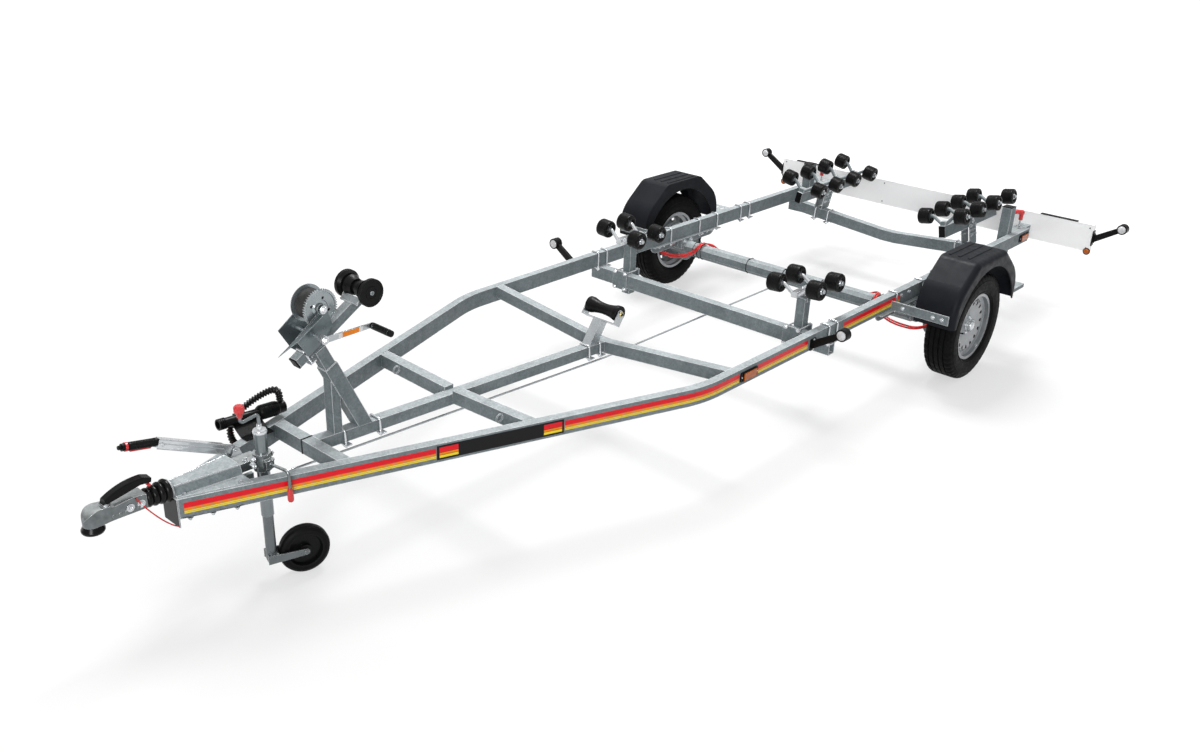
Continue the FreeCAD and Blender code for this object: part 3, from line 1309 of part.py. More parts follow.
def mid_post(side, way, set_x, set_y, tilt):
    pin_low = S.mid_dip + S.cradle_height / 2
    pin_y = set_y + pin_low * sine(tilt)
    pin_z = S.mid_axis_height - pin_low * cosine(tilt)
    ear_gap = S.cradle_width / 2 + S.bow_ear_gap
    top = pin_z - S.cradle_height * 0.6 - S.rocker_range_gap
    tube = block(f"mid_post_tube_{side}", set_x, set_y, (top + S.mid_post_bottom) / 2,
                 S.mid_post_size, S.mid_post_size, top - S.mid_post_bottom)
    parts = [tube]
    for name, ear_way in (("left", 1), ("right", -1)):
        ear = block(f"mid_ear_{side}_{name}", ZERO, (ear_gap + S.bracket_wall / 2) * ear_way,
                    -pin_low - S.cradle_height * 0.4, S.cradle_height, S.bracket_wall,
                    S.cradle_height * 2)
        parts.append(ear)
    rod = pin(f"mid_pin_{side}", S.rocker_pin_radius, ZERO, -ear_gap - S.bracket_wall * 2,
              ear_gap + S.bracket_wall * 2, -pin_low)
    head = fuse(f"mid_head_{side}", parts[1:] + [rod])
    place(head, set_x, set_y, S.mid_axis_height, SIDEWAYS, tilt)
    clamp_x = nose_x - S.bunk_run + S.bunk_width / 2 + S.seat_gap + S.clamp_plate_wall / 2
    clamp_tall = S.bunk_height + S.clamp_plate_lip * 2
    front = block(f"mid_clamp_{side}", clamp_x, set_y, beam_bottom - S.bunk_height / 2,
                  S.clamp_plate_wall, S.mid_post_size * 2, clamp_tall)
    return fuse(f"mid_post_{side}", [tube, head]), front


posts = [mid_set(side, way) for side, way in (("left", 1), ("right", -1))]
keep(group("mid_roller_posts", [piece for pair in posts for piece in pair]))


# Rear sets: a long rocker on the rear cross-member carries four rods

def rear_set(side, way):
    set_x, set_y = rear_cross_x, (S.frame_half_width - S.rear_set_inset) * way
    tilt = S.rear_tilt * way
    shifts = [S.rear_pitch * step for step in (1.5, 0.5, -0.5, -1.5)]
    for number, shift in enumerate(shifts, start=1):
        keep(roller_pair(f"rear_rollers_{side}_{number}", set_x, set_y, S.rear_axis_height, tilt, shift))
    low = S.rear_axis_height - S.rocker_centre_height
    rods = [bent_rod(f"rear_rod_{side}_{number}", S.rear_dip, shift)
            for number, shift in enumerate(shifts, start=1)]
    beam = block(f"rocker_tube_{side}", ZERO, ZERO, -low, S.rocker_half_length * 2,
                 S.rocker_width, S.rocker_height)
    seats = [block(f"rod_seat_{side}_{number}", shift, ZERO, -(S.rear_dip + low - S.rocker_height / 2) / 2,
                   S.cradle_width, S.cradle_width, low - S.rocker_height / 2 - S.rear_dip + S.cradle_height)
             for number, shift in enumerate(shifts, start=1)]
    bore = pin(f"rocker_bore_{side}", S.rocker_pin_radius + S.fit_gap, ZERO, -S.bracket_width,
               S.bracket_width, -low)
    solid = cut(f"rocker_bored_{side}", fuse(f"rocker_solid_{side}", [beam, *seats, *rods]), bore)
    rocker = group(f"rear_rocker_{side}", [solid])
    keep(place(rocker, set_x, set_y, S.rear_axis_height, SIDEWAYS, tilt))
    ear_y = S.rocker_width / 2 + S.bow_ear_gap + S.bracket_wall / 2
    tall = S.rocker_height + S.bracket_width * 1.5
    pitch, top = S.bracket_hole_pitch, S.rocker_pin_radius * 3
    holes = [(pitch * column, -pitch * row, S.bracket_hole_radius)
             for column in (-1, 0, 1) for row in (1, 2, 3)]
    ears = []
    for name, ear_way in (("left", 1), ("right", -1)):
        ear = plate(f"rocker_ear_{side}_{name}", "XZ_Plane", [
            (-S.bracket_width / 2, top - tall), (S.bracket_width / 2, top - tall),
            (S.bracket_width / 2, ZERO), (top, top), (-top, top), (-S.bracket_width / 2, ZERO),
        ], S.bracket_wall, holes=holes)
        ears.append(place(ear, y=ear_y * ear_way, z=-low))
    rod = pin(f"rocker_pin_{side}", S.rocker_pin_radius, ZERO, -ear_y - S.bracket_wall * 2,
              ear_y + S.bracket_wall * 2, -low)
    bracket = fuse(f"rocker_bracket_{side}", [*ears, rod])
    return place(bracket, set_x, set_y, S.rear_axis_height, SIDEWAYS, tilt)


brackets = [rear_set(side, way) for side, way in (("left", 1), ("right", -1))]


def rear_brackets():
    """Bracket ears cut off where they stand on the rear cross-member."""
    top = beam_bottom - S.seat_gap
    flat, seat = S.rear_cross_flat / 2, S.frame_half_width - S.beam_width * 3
    under = plate("rear_cross_shadow", "YZ_Plane", [
        (seat * 2, top + S.seat_gap), (seat, top + S.seat_gap),
        (flat, top - S.rear_cross_drop + S.seat_gap), (-flat, top - S.rear_cross_drop + S.seat_gap),
        (-seat, top + S.seat_gap), (-seat * 2, top + S.seat_gap),
        (-seat * 2, beam_bottom - S.beam_height * 2), (seat * 2, beam_bottom - S.beam_height * 2),
    ], S.bracket_width * 2)
    place(under, x=rear_cross_x)
    return cut("rear_roller_brackets", group("rear_bracket_pair", brackets), under)


keep(rear_brackets())


# Axle: torsion tube with trailing swing arms, brake drums and mounting channels

axle_tube_x = axle_x + S.axle_tube_forward
drum_inner_y = wheel_y - S.rim_dish - S.drum_brake_width


def axle_beam():
    half, size = S.frame_half_width + S.beam_width, S.axle_tube_size
    flat = size / 4
    tube = plate("axle_tube", "XZ_Plane", [
        (-size / 2, -flat), (-flat, -size / 2), (flat, -size / 2), (size / 2, -flat),
        (size / 2, flat), (flat, size / 2), (-flat, size / 2), (-size / 2, flat),
    ], half * 2)
    pieces = [place(tube, axle_tube_x, ZERO, S.axle_tube_height)]
    for name, way in (("left", 1), ("right", -1)):
        pieces += axle_side(name, way, half)
    return fuse("axle_beam", pieces)


def axle_side(name, way, half):
    """One end of the axle: trailing arm, brake drum, stub, saddle and the channel under the beam."""
    size, wheel_z = S.axle_tube_size, S.tyre_radius
    arm = plate(f"swing_arm_{name}", "XZ_Plane", [
        (axle_tube_x, S.axle_tube_height + size / 2), (axle_x, wheel_z + size / 2),
        (axle_x, wheel_z - size / 2), (axle_tube_x, S.axle_tube_height - size / 2),
    ], S.swing_arm_width, arcs={1: -size / 2, 3: -size / 2})
    place(arm, y=(half + S.swing_arm_width / 2) * way)
    drum_start, drum_end = half + S.swing_arm_width, drum_inner_y + S.drum_brake_width
    rib = S.drum_brake_radius * 0.9
    drum = turned(f"brake_drum_{name}", "XY_Plane", "Y_Axis", [
        (ZERO, drum_start * way), (rib, drum_start * way),
        (S.drum_brake_radius, (drum_inner_y + S.drum_brake_width / 4) * way),
        (S.drum_brake_radius, (drum_end - S.drum_brake_width / 5) * way),
        (rib, drum_end * way), (ZERO, drum_end * way),
    ])
    place(drum, axle_x, ZERO, wheel_z)
    stub_end = wheel_y + S.rim_dish * 2
    low, high = (drum_start, stub_end) if way > 0 else (-stub_end, -drum_start)
    stub = pin(f"stub_{name}", S.stub_radius, axle_x, low, high, wheel_z)
    middle = (S.frame_half_width - S.axle_channel_lip / 2) * way
    under = beam_bottom - S.seat_gap
    tall = under - S.axle_tube_height
    saddle = block(f"axle_saddle_{name}", axle_tube_x, middle, S.axle_tube_height + tall / 2,
                   size * 1.4, S.beam_width + S.axle_channel_lip, tall)
    long, deep, wall = S.axle_channel_length / 2, S.axle_channel_depth, S.axle_channel_wall
    web = plate(f"axle_channel_web_{name}", "XZ_Plane", [
        (long, ZERO), (long - deep, -deep), (deep - long, -deep), (-long, ZERO),
    ], wall, arcs={0: deep * 1.1, 2: deep * 1.1})
    web_y = (S.frame_half_width - S.beam_width / 2) * way
    place(web, axle_tube_x, web_y, under)
    lip = block(f"axle_channel_lip_{name}", axle_tube_x, middle, under - wall / 2,
                long * 2, S.beam_width + S.axle_channel_lip, wall)
    return [arm, drum, stub, saddle, web, lip]


keep(axle_beam())


# Road wheels: tyre, pressed steel rim with a ring of slots, hub

def tyre(side, way):
    half, radius, bead = S.tyre_width / 2, S.tyre_radius, S.rim_radius
    seat = S.rim_width / 2 - S.rim_wall - S.seat_gap
    rise = S.rim_flange_radius + S.seat_gap
    edge = [(bead, seat), (rise, seat), (radius * 0.82, half), (radius, half * 0.76)]
    outline = edge + [(r, -y) for r, y in reversed(edge)]
    body = turned(f"tyre_{side}", "XY_Plane", "Y_Axis", outline)
    return place(body, axle_x, wheel_y * way, radius)


def rim(side, way):
    wall, half, seat = S.rim_wall, S.rim_width / 2, S.rim_radius - S.seat_gap
    well = seat * 0.9
    dish = S.rim_dish
    bore = S.stub_radius + S.fit_gap
    body = turned(f"rim_{side}", "XY_Plane", "Y_Axis", [
        (bore, (dish - wall) * way), (S.hub_radius, (dish - wall) * way),
        (well * 0.86, dish * 1.5 * way), (well - wall, dish * way), (well - wall, -half * 0.5 * way),
        (seat - wall, -half * 0.62 * way), (seat - wall, -half * way),
        (S.rim_flange_radius, -half * way), (S.rim_flange_radius, (wall - half) * way),
        (seat, (wall - half) * way), (seat, -half * 0.62 * way), (well, -half * 0.5 * way),
        (well, half * 0.5 * way), (seat, half * 0.62 * way), (seat, (half - wall) * way),
        (S.rim_flange_radius, (half - wall) * way), (S.rim_flange_radius, half * way),
        (seat - wall, half * way), (seat - wall, half * 0.62 * way), (well - wall, half * 0.5 * way),
        (well * 0.86, (dish * 1.5 + wall) * way), (S.hub_radius, (dish + wall) * way),
        (bore, (dish + wall) * way),
    ])
    sketch = new_sketch(body, "XZ_Plane")
    add_circle(sketch, S.rim_slot_radius, ZERO, S.rim_slot_size)
    slot = pocket(body, sketch, S.rim_width * 2, symmetric=True)
    polar_pattern(body, slot, "Y_Axis", S.rim_slot_count)
    return place(body, axle_x, wheel_y * way, S.tyre_radius)


for side, way in (("left", 1), ("right", -1)):
    keep(tyre(side, way), rim(side, way))


# Mudguards: moulded shells with a flat ridged crown, sloped shoulders and an arch cut in each side

shoulder_rise, shoulder_run = S.guard_top - S.guard_shoulder, S.guard_reach - S.guard_crown_half
shoulder_slope = slope_angle(shoulder_rise, shoulder_run)


def guard_outline(inset):
    """Half-octagon seen from the side, with tangent rounds, set in from the outside by a wall."""
    steep, shallow = slope_angle(shoulder_run, shoulder_rise) / 2, shoulder_slope / 2
    side_x = S.guard_reach - inset
    side_z = S.guard_shoulder - S.guard_shoulder_radius * tangent(steep)
    bend = (S.guard_shoulder_radius - inset) * tangent(steep)
    corner_z = S.guard_shoulder - inset * tangent(steep)
    crown_z = S.guard_top - inset
    crown_x = S.guard_crown_half - inset * tangent(shallow)
    back = (S.guard_crown_radius - inset) * tangent(shallow)
    run, rise = cosine(shoulder_slope), sine(shoulder_slope)
    half = [
        (side_x, side_z), (side_x - bend * run, corner_z + bend * rise),
        (crown_x + back * run, crown_z - back * rise), (crown_x - back, crown_z),
    ]
    rear = [(-x, z) for x, z in reversed(half)]
    floor = S.guard_bottom - inset
    corners = [(side_x, floor), *half, *rear, (-side_x, floor)]
    big, small = S.guard_shoulder_radius - inset, S.guard_crown_radius - inset
    return corners, {1: -big, 3: -small, 5: -small, 7: -big}


def guard_block(label, inset):
    """The guard's outside or inside as a solid, its outer side edge rounded."""
    corners, arcs = guard_outline(inset)
    body = plate(label, "XZ_Plane", corners, S.guard_width - inset * 2, arcs)
    side, floor = (S.guard_width / 2 - inset).value, (S.guard_bottom - inset).value
    near = S.seat_gap.value
    return rounded(body, body.Tip, S.guard_edge_radius - inset, lambda box: (
        box.YMin > side - near and box.ZMax > floor + near)), body


def mudguard():
    outside, inside = guard_block("guard_outside", ZERO)[1], guard_block("guard_inside", S.guard_wall)[1]
    arch = pin("guard_arch", S.guard_arch_radius, ZERO, -S.guard_width, S.guard_width, ZERO)
    shell = cut("guard_shell", outside, fuse("guard_cuts", [inside, arch]))
    ridges = [
        block(f"guard_ridge_{i}", ZERO, S.guard_ridge_pitch * (i - 1.5), S.guard_top,
              S.guard_crown_half * 1.6, S.guard_ridge_width, S.guard_ridge_height * 2)
        for i in range(3)
    ]
    whole = fuse("guard_with_ridges", [shell, *ridges])
    return place(group("mudguard_left_shell", [whole]), axle_x, wheel_y, S.tyre_radius)


# Places of the step's two rows of slots along it
SLOT_ROW_SHARES = (0.27, 0.73)


def mudguard_stays():
    """A flat bar in front of each guard and a perforated step behind it, both off the side beam."""
    inner = S.frame_half_width + S.seat_gap
    outer = wheel_y + S.guard_width / 2 - S.guard_edge_radius
    front_x = axle_x + S.guard_reach + S.stay_wall / 2 + S.seat_gap
    stay_z = beam_bottom + S.stay_height / 2
    bar = block("guard_stay", front_x, (inner + outer) / 2, stay_z,
                S.stay_wall, outer - inner, S.stay_height)
    top, wall, long = beam_bottom, S.step_wall, S.step_length
    step_x = axle_x - S.guard_reach - S.seat_gap - long
    wide, deep = outer - inner, S.step_depth
    slots = []
    tray = plate("guard_step", "YZ_Plane", [
        (inner, top), (outer, top), (outer, top - deep), (outer - wall, top - deep),
        (outer - wall, top - wall), (inner + wall, top - wall),
        (inner + wall, top - deep), (inner, top - deep),
    ], long, symmetric=False)
    place(tray, x=step_x)
    count = int(wide.value // S.step_slot_pitch.value) - 1
    first = (inner + outer) / 2 - S.step_slot_pitch * ((count - 1) / 2)
    for i in range(count):
        for row, share in enumerate(SLOT_ROW_SHARES):
            slots.append(block(f"step_slot_{i}_{row}", step_x + long * share,
                               first + S.step_slot_pitch * i, top, S.step_slot_length,
                               S.step_slot_width, deep))
    return group("mudguard_stays_left", [bar, cut("guard_step_open", tray, fuse("step_slots", slots))])


guard = mudguard()
stays = mudguard_stays()
keep(group("mudguards", [guard, mirrored("mudguard_right_shell", guard)]))
keep(group("mudguard_stays", [stays, mirrored("mudguard_stays_right", stays)]))


# Lights: white board across the tail on two posts, stalk lamps and markers

def light_board():
    return block("light_board", S.board_wall / 2 - half_length, ZERO, S.board_bottom + S.board_height / 2,
                 S.board_wall, board_half_width * 2, S.board_height)


def board_arms():
    """Sliding arms beside the side beams, each with an upright box post that carries the board."""
    front_x = tail_x + S.board_arm_reach
    rear_x = S.board_wall + S.seat_gap - half_length
    size = S.board_arm_size
    pieces = []
    for name, way in (("left", 1), ("right", -1)):
        y = (S.frame_half_width - S.beam_width - S.seat_gap - size / 2) * way
        arm = block(f"board_arm_{name}", (front_x + rear_x) / 2, y, S.beam_top - S.beam_height / 2,
                    front_x - rear_x, size, size)
        post = block(f"board_post_{name}", front_x - S.board_post_size / 2, y,
                     S.beam_top + S.board_post_rise / 2 - S.beam_height / 2,
                     S.board_post_size, S.board_post_size, S.board_post_rise + S.beam_height)
        pieces.append(fuse(f"board_arm_with_post_{name}", [arm, post]))
    return group("board_arms", pieces)


def stalk(name, base_x, base_y, base_z, way):
    """A tapered rubber stalk on its foot, with a round lamp that looks ahead and behind."""
    foot, long, rise = S.stalk_foot_wall, S.stalk_length, S.stalk_rise
    wide, slim = S.stalk_wide / 2, S.stalk_slim / 2
    arm = plate(f"stalk_arm_{name}", "YZ_Plane", [
        (ZERO, -wide), (foot * way, -wide), ((long + slim * 0.5) * way, rise - slim),
        ((long - slim * 0.5) * way, rise + slim), (foot * way, wide), (ZERO, wide),
    ], S.stalk_thick)
    base = block(f"stalk_foot_{name}", ZERO, foot / 2 * way, ZERO, S.stalk_wide, foot, S.stalk_foot_height)
    lamp = cylinder(f"stalk_lamp_{name}", S.lamp_radius, S.lamp_width, -S.lamp_width / 2, long * way, rise,
                    ENDWAYS, RIGHT_ANGLE)
    whole = group(f"stalk_{name}", [fuse(f"stalk_whole_{name}", [arm, base, lamp])])
    return place(whole, base_x, base_y * way, base_z)


def stalk_lamps():
    pieces = []
    side_x = nose_x - S.side_lamp_run
    rear_x = S.board_wall / 2 - half_length
    for name, way in (("left", 1), ("right", -1)):
        pieces.append(stalk(f"side_{name}", side_x, S.frame_half_width + S.seat_gap,
                            S.beam_top - S.side_lamp_drop, way))
        pieces.append(stalk(f"rear_{name}", rear_x, board_half_width + S.seat_gap,
                            S.board_bottom + S.board_height / 2, way))
    return group("stalk_lamps", pieces)


def side_markers():
    pieces = []
    for place_name, x in (("mid", nose_x - S.marker_run), ("tail", tail_x + S.tail_marker_setback)):
        for name, way in (("left", 1), ("right", -1)):
            y = (S.frame_half_width + S.marker_wall / 2 + S.seat_gap) * way
            pieces.append(block(f"marker_{place_name}_{name}", x, y, S.beam_top - S.beam_height / 2,
                                S.marker_length, S.marker_wall, S.marker_height))
    return group("side_markers", pieces)


keep(light_board(), board_arms(), stalk_lamps(), side_markers())


# Brake rod under the spine, from the overrun gear back to the axle

def brake_rod():
    z = S.beam_top - S.cover_rise - S.overrun_depth + S.brake_rod_radius * 2
    start = nose_x - S.overrun_length - S.seat_gap
    low = spine_top(S.keel_cross_run) - S.cross_height - S.brake_rod_drop
    return feature("brake_rod", round_rod([
        point(start, 0, z), point(start - S.beam_width, 0, z),
        point(nose_x - S.keel_cross_run, 0, low), point(axle_tube_x + S.axle_tube_size / 2, 0, low),
    ], S.brake_rod_radius.value, [S.spine_size.value * 2, S.spine_size.value * 4]))


keep(brake_rod())


# Plug parked in its holder tube on the far beam

def plug_holder():
    """Open tube with the plug in its rear end, on a bent plate that sits on the beam."""
    front_x, y = nose_x - S.holder_run, -S.holder_offset
    thick, long = S.plug_radius, S.holder_length
    outline = [
        (ZERO, S.holder_bore_radius), (ZERO, S.holder_radius * 1.1), (-thick / 2, S.holder_radius),
        (-long, S.holder_radius), (-long, thick * 0.85), (-long - thick / 4, thick),
        (-long - S.plug_length * 0.7, thick), (-long - S.plug_length * 0.75, thick * 0.9),
        (-long - S.plug_length, thick * 0.85), (-long - S.plug_length, ZERO),
        (-long / 3, ZERO), (-long / 3, S.holder_bore_radius),
    ]
    tube = turned("plug_tube", "XZ_Plane", "X_Axis", outline)
    place(tube, front_x, y, S.holder_height, ENDWAYS, -S.holder_tilt)
    run = S.holder_run + S.holder_plate_inset
    seat, wall = S.beam_top + S.seat_gap, S.holder_wall
    edge, high = -beam_outer_y(run), S.holder_height - S.holder_radius
    bracket = plate("plug_bracket", "YZ_Plane", [
        (y - wall, high), (y + wall, high), (edge, seat + wall), (edge + S.beam_width, seat + wall),
        (edge + S.beam_width, seat), (edge - wall, seat),
    ], S.holder_plate_length, symmetric=False)
    place(bracket, nose_x - run - S.holder_plate_length, ZERO, ZERO)
    return fuse("plug_holder", [tube, bracket])


keep(plug_holder())


# Cables, each along hand-chosen points: two from brake to brake over the axle tube,
# the breakaway cable from the coupling to the nose plate, and the conduit from beam to plug

BRAKE_CABLE_HALVES = [
    [(-1345.5, -905, 300), (-1200, -905, 302), (-1185, -795, 300), (-1195, -700, 310), (-1222, -640, 338),
     (-1230, -606, 380), (-1262, -603, 396), (-1305, -596, 391), (-1332, -566, 372), (-1328, -510, 345),
     (-1327.4, -440, 338)],
    [(-1345.5, -905, 288), (-1200, -893, 290), (-1185, -787, 288), (-1195, -697, 298), (-1222, -629, 330),
     (-1230, -593, 378), (-1262, -591, 396), (-1305, -584, 391), (-1332, -556, 382), (-1328, -503, 356),
     (-1327.4, -440, 350)],
]
BREAKAWAY_POINTS = [(2762, 32.3, 538), (2752, 38, 516), (2702, 46, 444), (2652, 49, 390), (2633, 47, 379)]
CONDUIT_POINTS = [
    (1997, -250, 555.8), (1995, -250, 588), (2016, -253, 610), (2070, -261, 600), (2135, -275, 570),
    (2188, -289, 528), (2215, -282, 480), (2228.4, -228, 445), (2216.6, -193.9, 445),
]


def cord(label, points, radius):
    points = [Vector(*spot) for spot in points]
    return feature(label, round_rod(points, radius.value, cord_radii(points)))


def cables():
    pieces = []
    for i, half in enumerate(BRAKE_CABLE_HALVES, start=1):
        whole = half + [(x, -y, z) for x, y, z in reversed(half)]
        pieces.append(cord(f"brake_cable_{i}", whole, S.brake_cable_radius))
    pieces.append(cord("breakaway_cable", BREAKAWAY_POINTS, S.breakaway_radius))
    pieces.append(cord("plug_conduit", CONDUIT_POINTS, S.conduit_radius))
    return group("cables", pieces)


keep(cables())


doc.recompute()

BAD_STATES = {"Invalid", "Error"}
broken = [obj.Name for obj in doc.Objects if BAD_STATES & set(obj.State)]
if broken:
    raise RuntimeError(f"objects that failed: {broken}")

os.makedirs("parts", exist_ok=True)
for part in PARTS:
    shape = part.Shape
    if shape.isNull() or not shape.isValid() or not shape.Solids:
        raise RuntimeError(f"{part.Label}: shape is empty or not valid")
    shape.exportStep(os.path.join("parts", f"{part.Label}.step"))
    print(f"{part.Label}: {len(shape.Solids)} solids, {shape.Volume / 1000:.1f} cm3")

sketches = [obj for obj in doc.Objects if obj.TypeId == "Sketcher::SketchObject"]
loose = [obj.Name for obj in sketches if not obj.FullyConstrained]
print(f"{len(PARTS)} sub-parts, {len(sketches)} sketches, loose: {loose}")
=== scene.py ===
import json
from math import asin, atan2, cos, pi, radians, sin, sqrt, tan

import bpy
from mathutils import Matrix, Vector

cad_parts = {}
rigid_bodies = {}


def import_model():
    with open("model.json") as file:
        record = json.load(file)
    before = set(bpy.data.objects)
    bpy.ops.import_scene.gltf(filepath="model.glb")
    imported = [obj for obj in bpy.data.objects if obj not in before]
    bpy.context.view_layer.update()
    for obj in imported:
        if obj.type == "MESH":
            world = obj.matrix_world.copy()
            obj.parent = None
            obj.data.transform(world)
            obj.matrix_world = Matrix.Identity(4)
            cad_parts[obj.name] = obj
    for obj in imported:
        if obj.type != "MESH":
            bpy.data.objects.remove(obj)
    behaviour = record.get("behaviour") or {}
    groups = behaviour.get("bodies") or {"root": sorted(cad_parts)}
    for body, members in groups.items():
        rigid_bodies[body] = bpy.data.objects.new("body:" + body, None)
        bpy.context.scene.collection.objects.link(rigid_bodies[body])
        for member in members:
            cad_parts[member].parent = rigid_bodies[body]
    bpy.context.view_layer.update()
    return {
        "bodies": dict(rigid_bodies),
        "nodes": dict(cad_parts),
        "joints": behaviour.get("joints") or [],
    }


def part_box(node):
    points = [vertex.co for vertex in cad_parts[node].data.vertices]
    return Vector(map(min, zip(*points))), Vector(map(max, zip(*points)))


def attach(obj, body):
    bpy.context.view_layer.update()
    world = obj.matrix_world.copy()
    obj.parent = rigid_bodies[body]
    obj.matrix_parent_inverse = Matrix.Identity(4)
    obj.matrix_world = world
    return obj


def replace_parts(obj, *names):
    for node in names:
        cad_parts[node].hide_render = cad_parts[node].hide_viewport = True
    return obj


# Boat trailer: looks, small hardware, floor, light and camera around the fixed frame.
# X runs forward to the coupling, Y to the left, Z up. Shapes are built in millimetres, and piece() makes them metres.

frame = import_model()
NODES = frame["nodes"]
JOINTS = {joint["name"]: joint for joint in frame["joints"]}
MM = 0.001
UP, AHEAD, LEFT = Vector((0, 0, 1)), Vector((1, 0, 0)), Vector((0, 1, 0))
SIDES = ((1, "left"), (-1, "right"))
WHITE = (1, 1, 1, 1)


def link(name, data):
    """Put new data into the scene as an object."""
    item = bpy.data.objects.new(name, data)
    bpy.context.scene.collection.objects.link(item)
    return item


# Camera at the photograph's place

CAMERA_PLACE = Vector((4.2306, 3.3415, 2.5700))
CAMERA_YAW, CAMERA_PITCH, CAMERA_ROLL = (radians(a) for a in (223.27, -24.81, 1.28))
PHOTO_WIDTH, PHOTO_HEIGHT = 1200, 750
FOCAL_PIXELS, CENTRE_PIXEL = 1142.8, (552.14, 377.48)
SENSOR_WIDTH = 36.0


def make_camera():
    data = bpy.data.cameras.new("camera")
    data.sensor_width = SENSOR_WIDTH
    data.lens = FOCAL_PIXELS / PHOTO_WIDTH * SENSOR_WIDTH
    data.shift_x = (PHOTO_WIDTH / 2 - CENTRE_PIXEL[0]) / PHOTO_WIDTH
    data.shift_y = (CENTRE_PIXEL[1] - PHOTO_HEIGHT / 2) / PHOTO_WIDTH
    flat = cos(CAMERA_PITCH)
    forward = Vector((cos(CAMERA_YAW) * flat, sin(CAMERA_YAW) * flat, sin(CAMERA_PITCH)))
    level = forward.cross(UP).normalized()
    rise = level.cross(forward)
    right = level * cos(CAMERA_ROLL) + rise * sin(CAMERA_ROLL)
    up = rise * cos(CAMERA_ROLL) - level * sin(CAMERA_ROLL)
    camera = link("camera", data)
    camera.matrix_world = Matrix.Translation(CAMERA_PLACE) @ Matrix((right, up, -forward)).transposed().to_4x4()
    bpy.context.scene.camera = camera


# Node trees

def feed(tree, socket, value):
    """Link a socket to another one, or set its plain value."""
    if isinstance(value, bpy.types.NodeSocket):
        tree.links.new(value, socket)
    else:
        socket.default_value = value


def add_node(tree, kind, values=None, **settings):
    node = tree.nodes.new(kind)
    for name, value in settings.items():
        setattr(node, name, value)
    for key, value in (values or {}).items():
        feed(tree, node.inputs[key], value)
    return node


def ramp(tree, source, stops):
    """A colour ramp of (place, grey or colour) stops."""
    node = add_node(tree, "ShaderNodeValToRGB", {"Fac": source})
    elements = node.color_ramp.elements
    while len(elements) < len(stops):
        elements.new(0.5)
    for element, (place, tone) in zip(elements, stops):
        element.position = place
        element.color = (tone, tone, tone, 1) if isinstance(tone, (int, float)) else (*tone, 1)
    return node.outputs["Color"]


def mix_colour(tree, factor, first, second, blend="MIX"):
    values = {0: factor, 6: first, 7: second}
    return add_node(tree, "ShaderNodeMix", values, data_type="RGBA", blend_type=blend).outputs[2]


def arithmetic(tree, operation, first, second):
    """A sum that is kept between 0 and 1."""
    return add_node(tree, "ShaderNodeMath", {0: first, 1: second}, operation=operation, use_clamp=True).outputs[0]


def upward(tree, vector):
    """The Z part of a vector."""
    return add_node(tree, "ShaderNodeSeparateXYZ", {0: vector}).outputs[2]


class Finish:
    """A material with its shader, object coordinates, softened edges and a bump that adds up."""

    def __init__(self, name, roughness, metallic=0.0, edge=0.8, **sockets):
        self.material = bpy.data.materials.new(name)
        self.material.use_nodes = True
        self.tree = self.material.node_tree
        self.inputs = self.tree.nodes["Principled BSDF"].inputs
        for key, value in {"Roughness": roughness, "Metallic": metallic, **sockets}.items():
            self.inputs[key.replace("_", " ")].default_value = value
        self.coords = add_node(self.tree, "ShaderNodeTexCoord").outputs["Object"]
        self.normal = None
        if edge:
            self.face_along(self.bevel(edge))

    def bevel(self, radius):
        return add_node(self.tree, "ShaderNodeBevel", {"Radius": radius * MM}, samples=4).outputs["Normal"]

    def face_along(self, normal):
        self.normal = normal
        feed(self.tree, self.inputs["Normal"], normal)

    def noise(self, scale, stops=None, detail=3.0, roughness=0.55, coords=None):
        """Noise over the surface, through a ramp if it has stops."""
        values = {"Vector": coords or self.coords, "Scale": scale, "Detail": detail, "Roughness": roughness}
        grey = add_node(self.tree, "ShaderNodeTexNoise", values).outputs["Fac"]
        return ramp(self.tree, grey, stops) if stops else grey

    def cells(self, scale, output):
        return add_node(self.tree, "ShaderNodeTexVoronoi", {"Vector": self.coords, "Scale": scale}).outputs[output]

    def colour(self, source):
        feed(self.tree, self.inputs["Base Color"], source)

    def rough(self, source):
        feed(self.tree, self.inputs["Roughness"], source)

    def bump(self, height, depth, strength):
        """Depth is in millimetres."""
        values = {"Strength": strength, "Distance": depth * MM, "Height": height}
        if self.normal is not None:
            values["Normal"] = self.normal
        self.face_along(add_node(self.tree, "ShaderNodeBump", values).outputs["Normal"])

    def product(self, source, *others):
        for other in others:
            source = mix_colour(self.tree, 1.0, source, other, "MULTIPLY")
        return source

    def painted_top_light_side_shade(self, source, side, top):
        """Painted light and shade: tint a colour by where the surface faces, one tint on sides and below as painted
        shade, another on top as painted light.
        """
        normal = add_node(self.tree, "ShaderNodeNewGeometry").outputs["Normal"]
        return self.product(source, ramp(self.tree, upward(self.tree, normal), [(0.25, side), (0.9, top)]))

    def painted_edge_highlight(self, source, bright, radius, gain):
        """Painted highlight: brighten a colour where the surface turns over an edge."""
        flat = add_node(self.tree, "ShaderNodeNewGeometry").outputs["Normal"]
        dot = add_node(self.tree, "ShaderNodeVectorMath", {0: self.bevel(radius), 1: flat}, operation="DOT_PRODUCT")
        turn = arithmetic(self.tree, "SUBTRACT", 1.0, dot.outputs["Value"])
        return mix_colour(self.tree, arithmetic(self.tree, "MULTIPLY", turn, gain), source, (*bright, 1))


# Materials

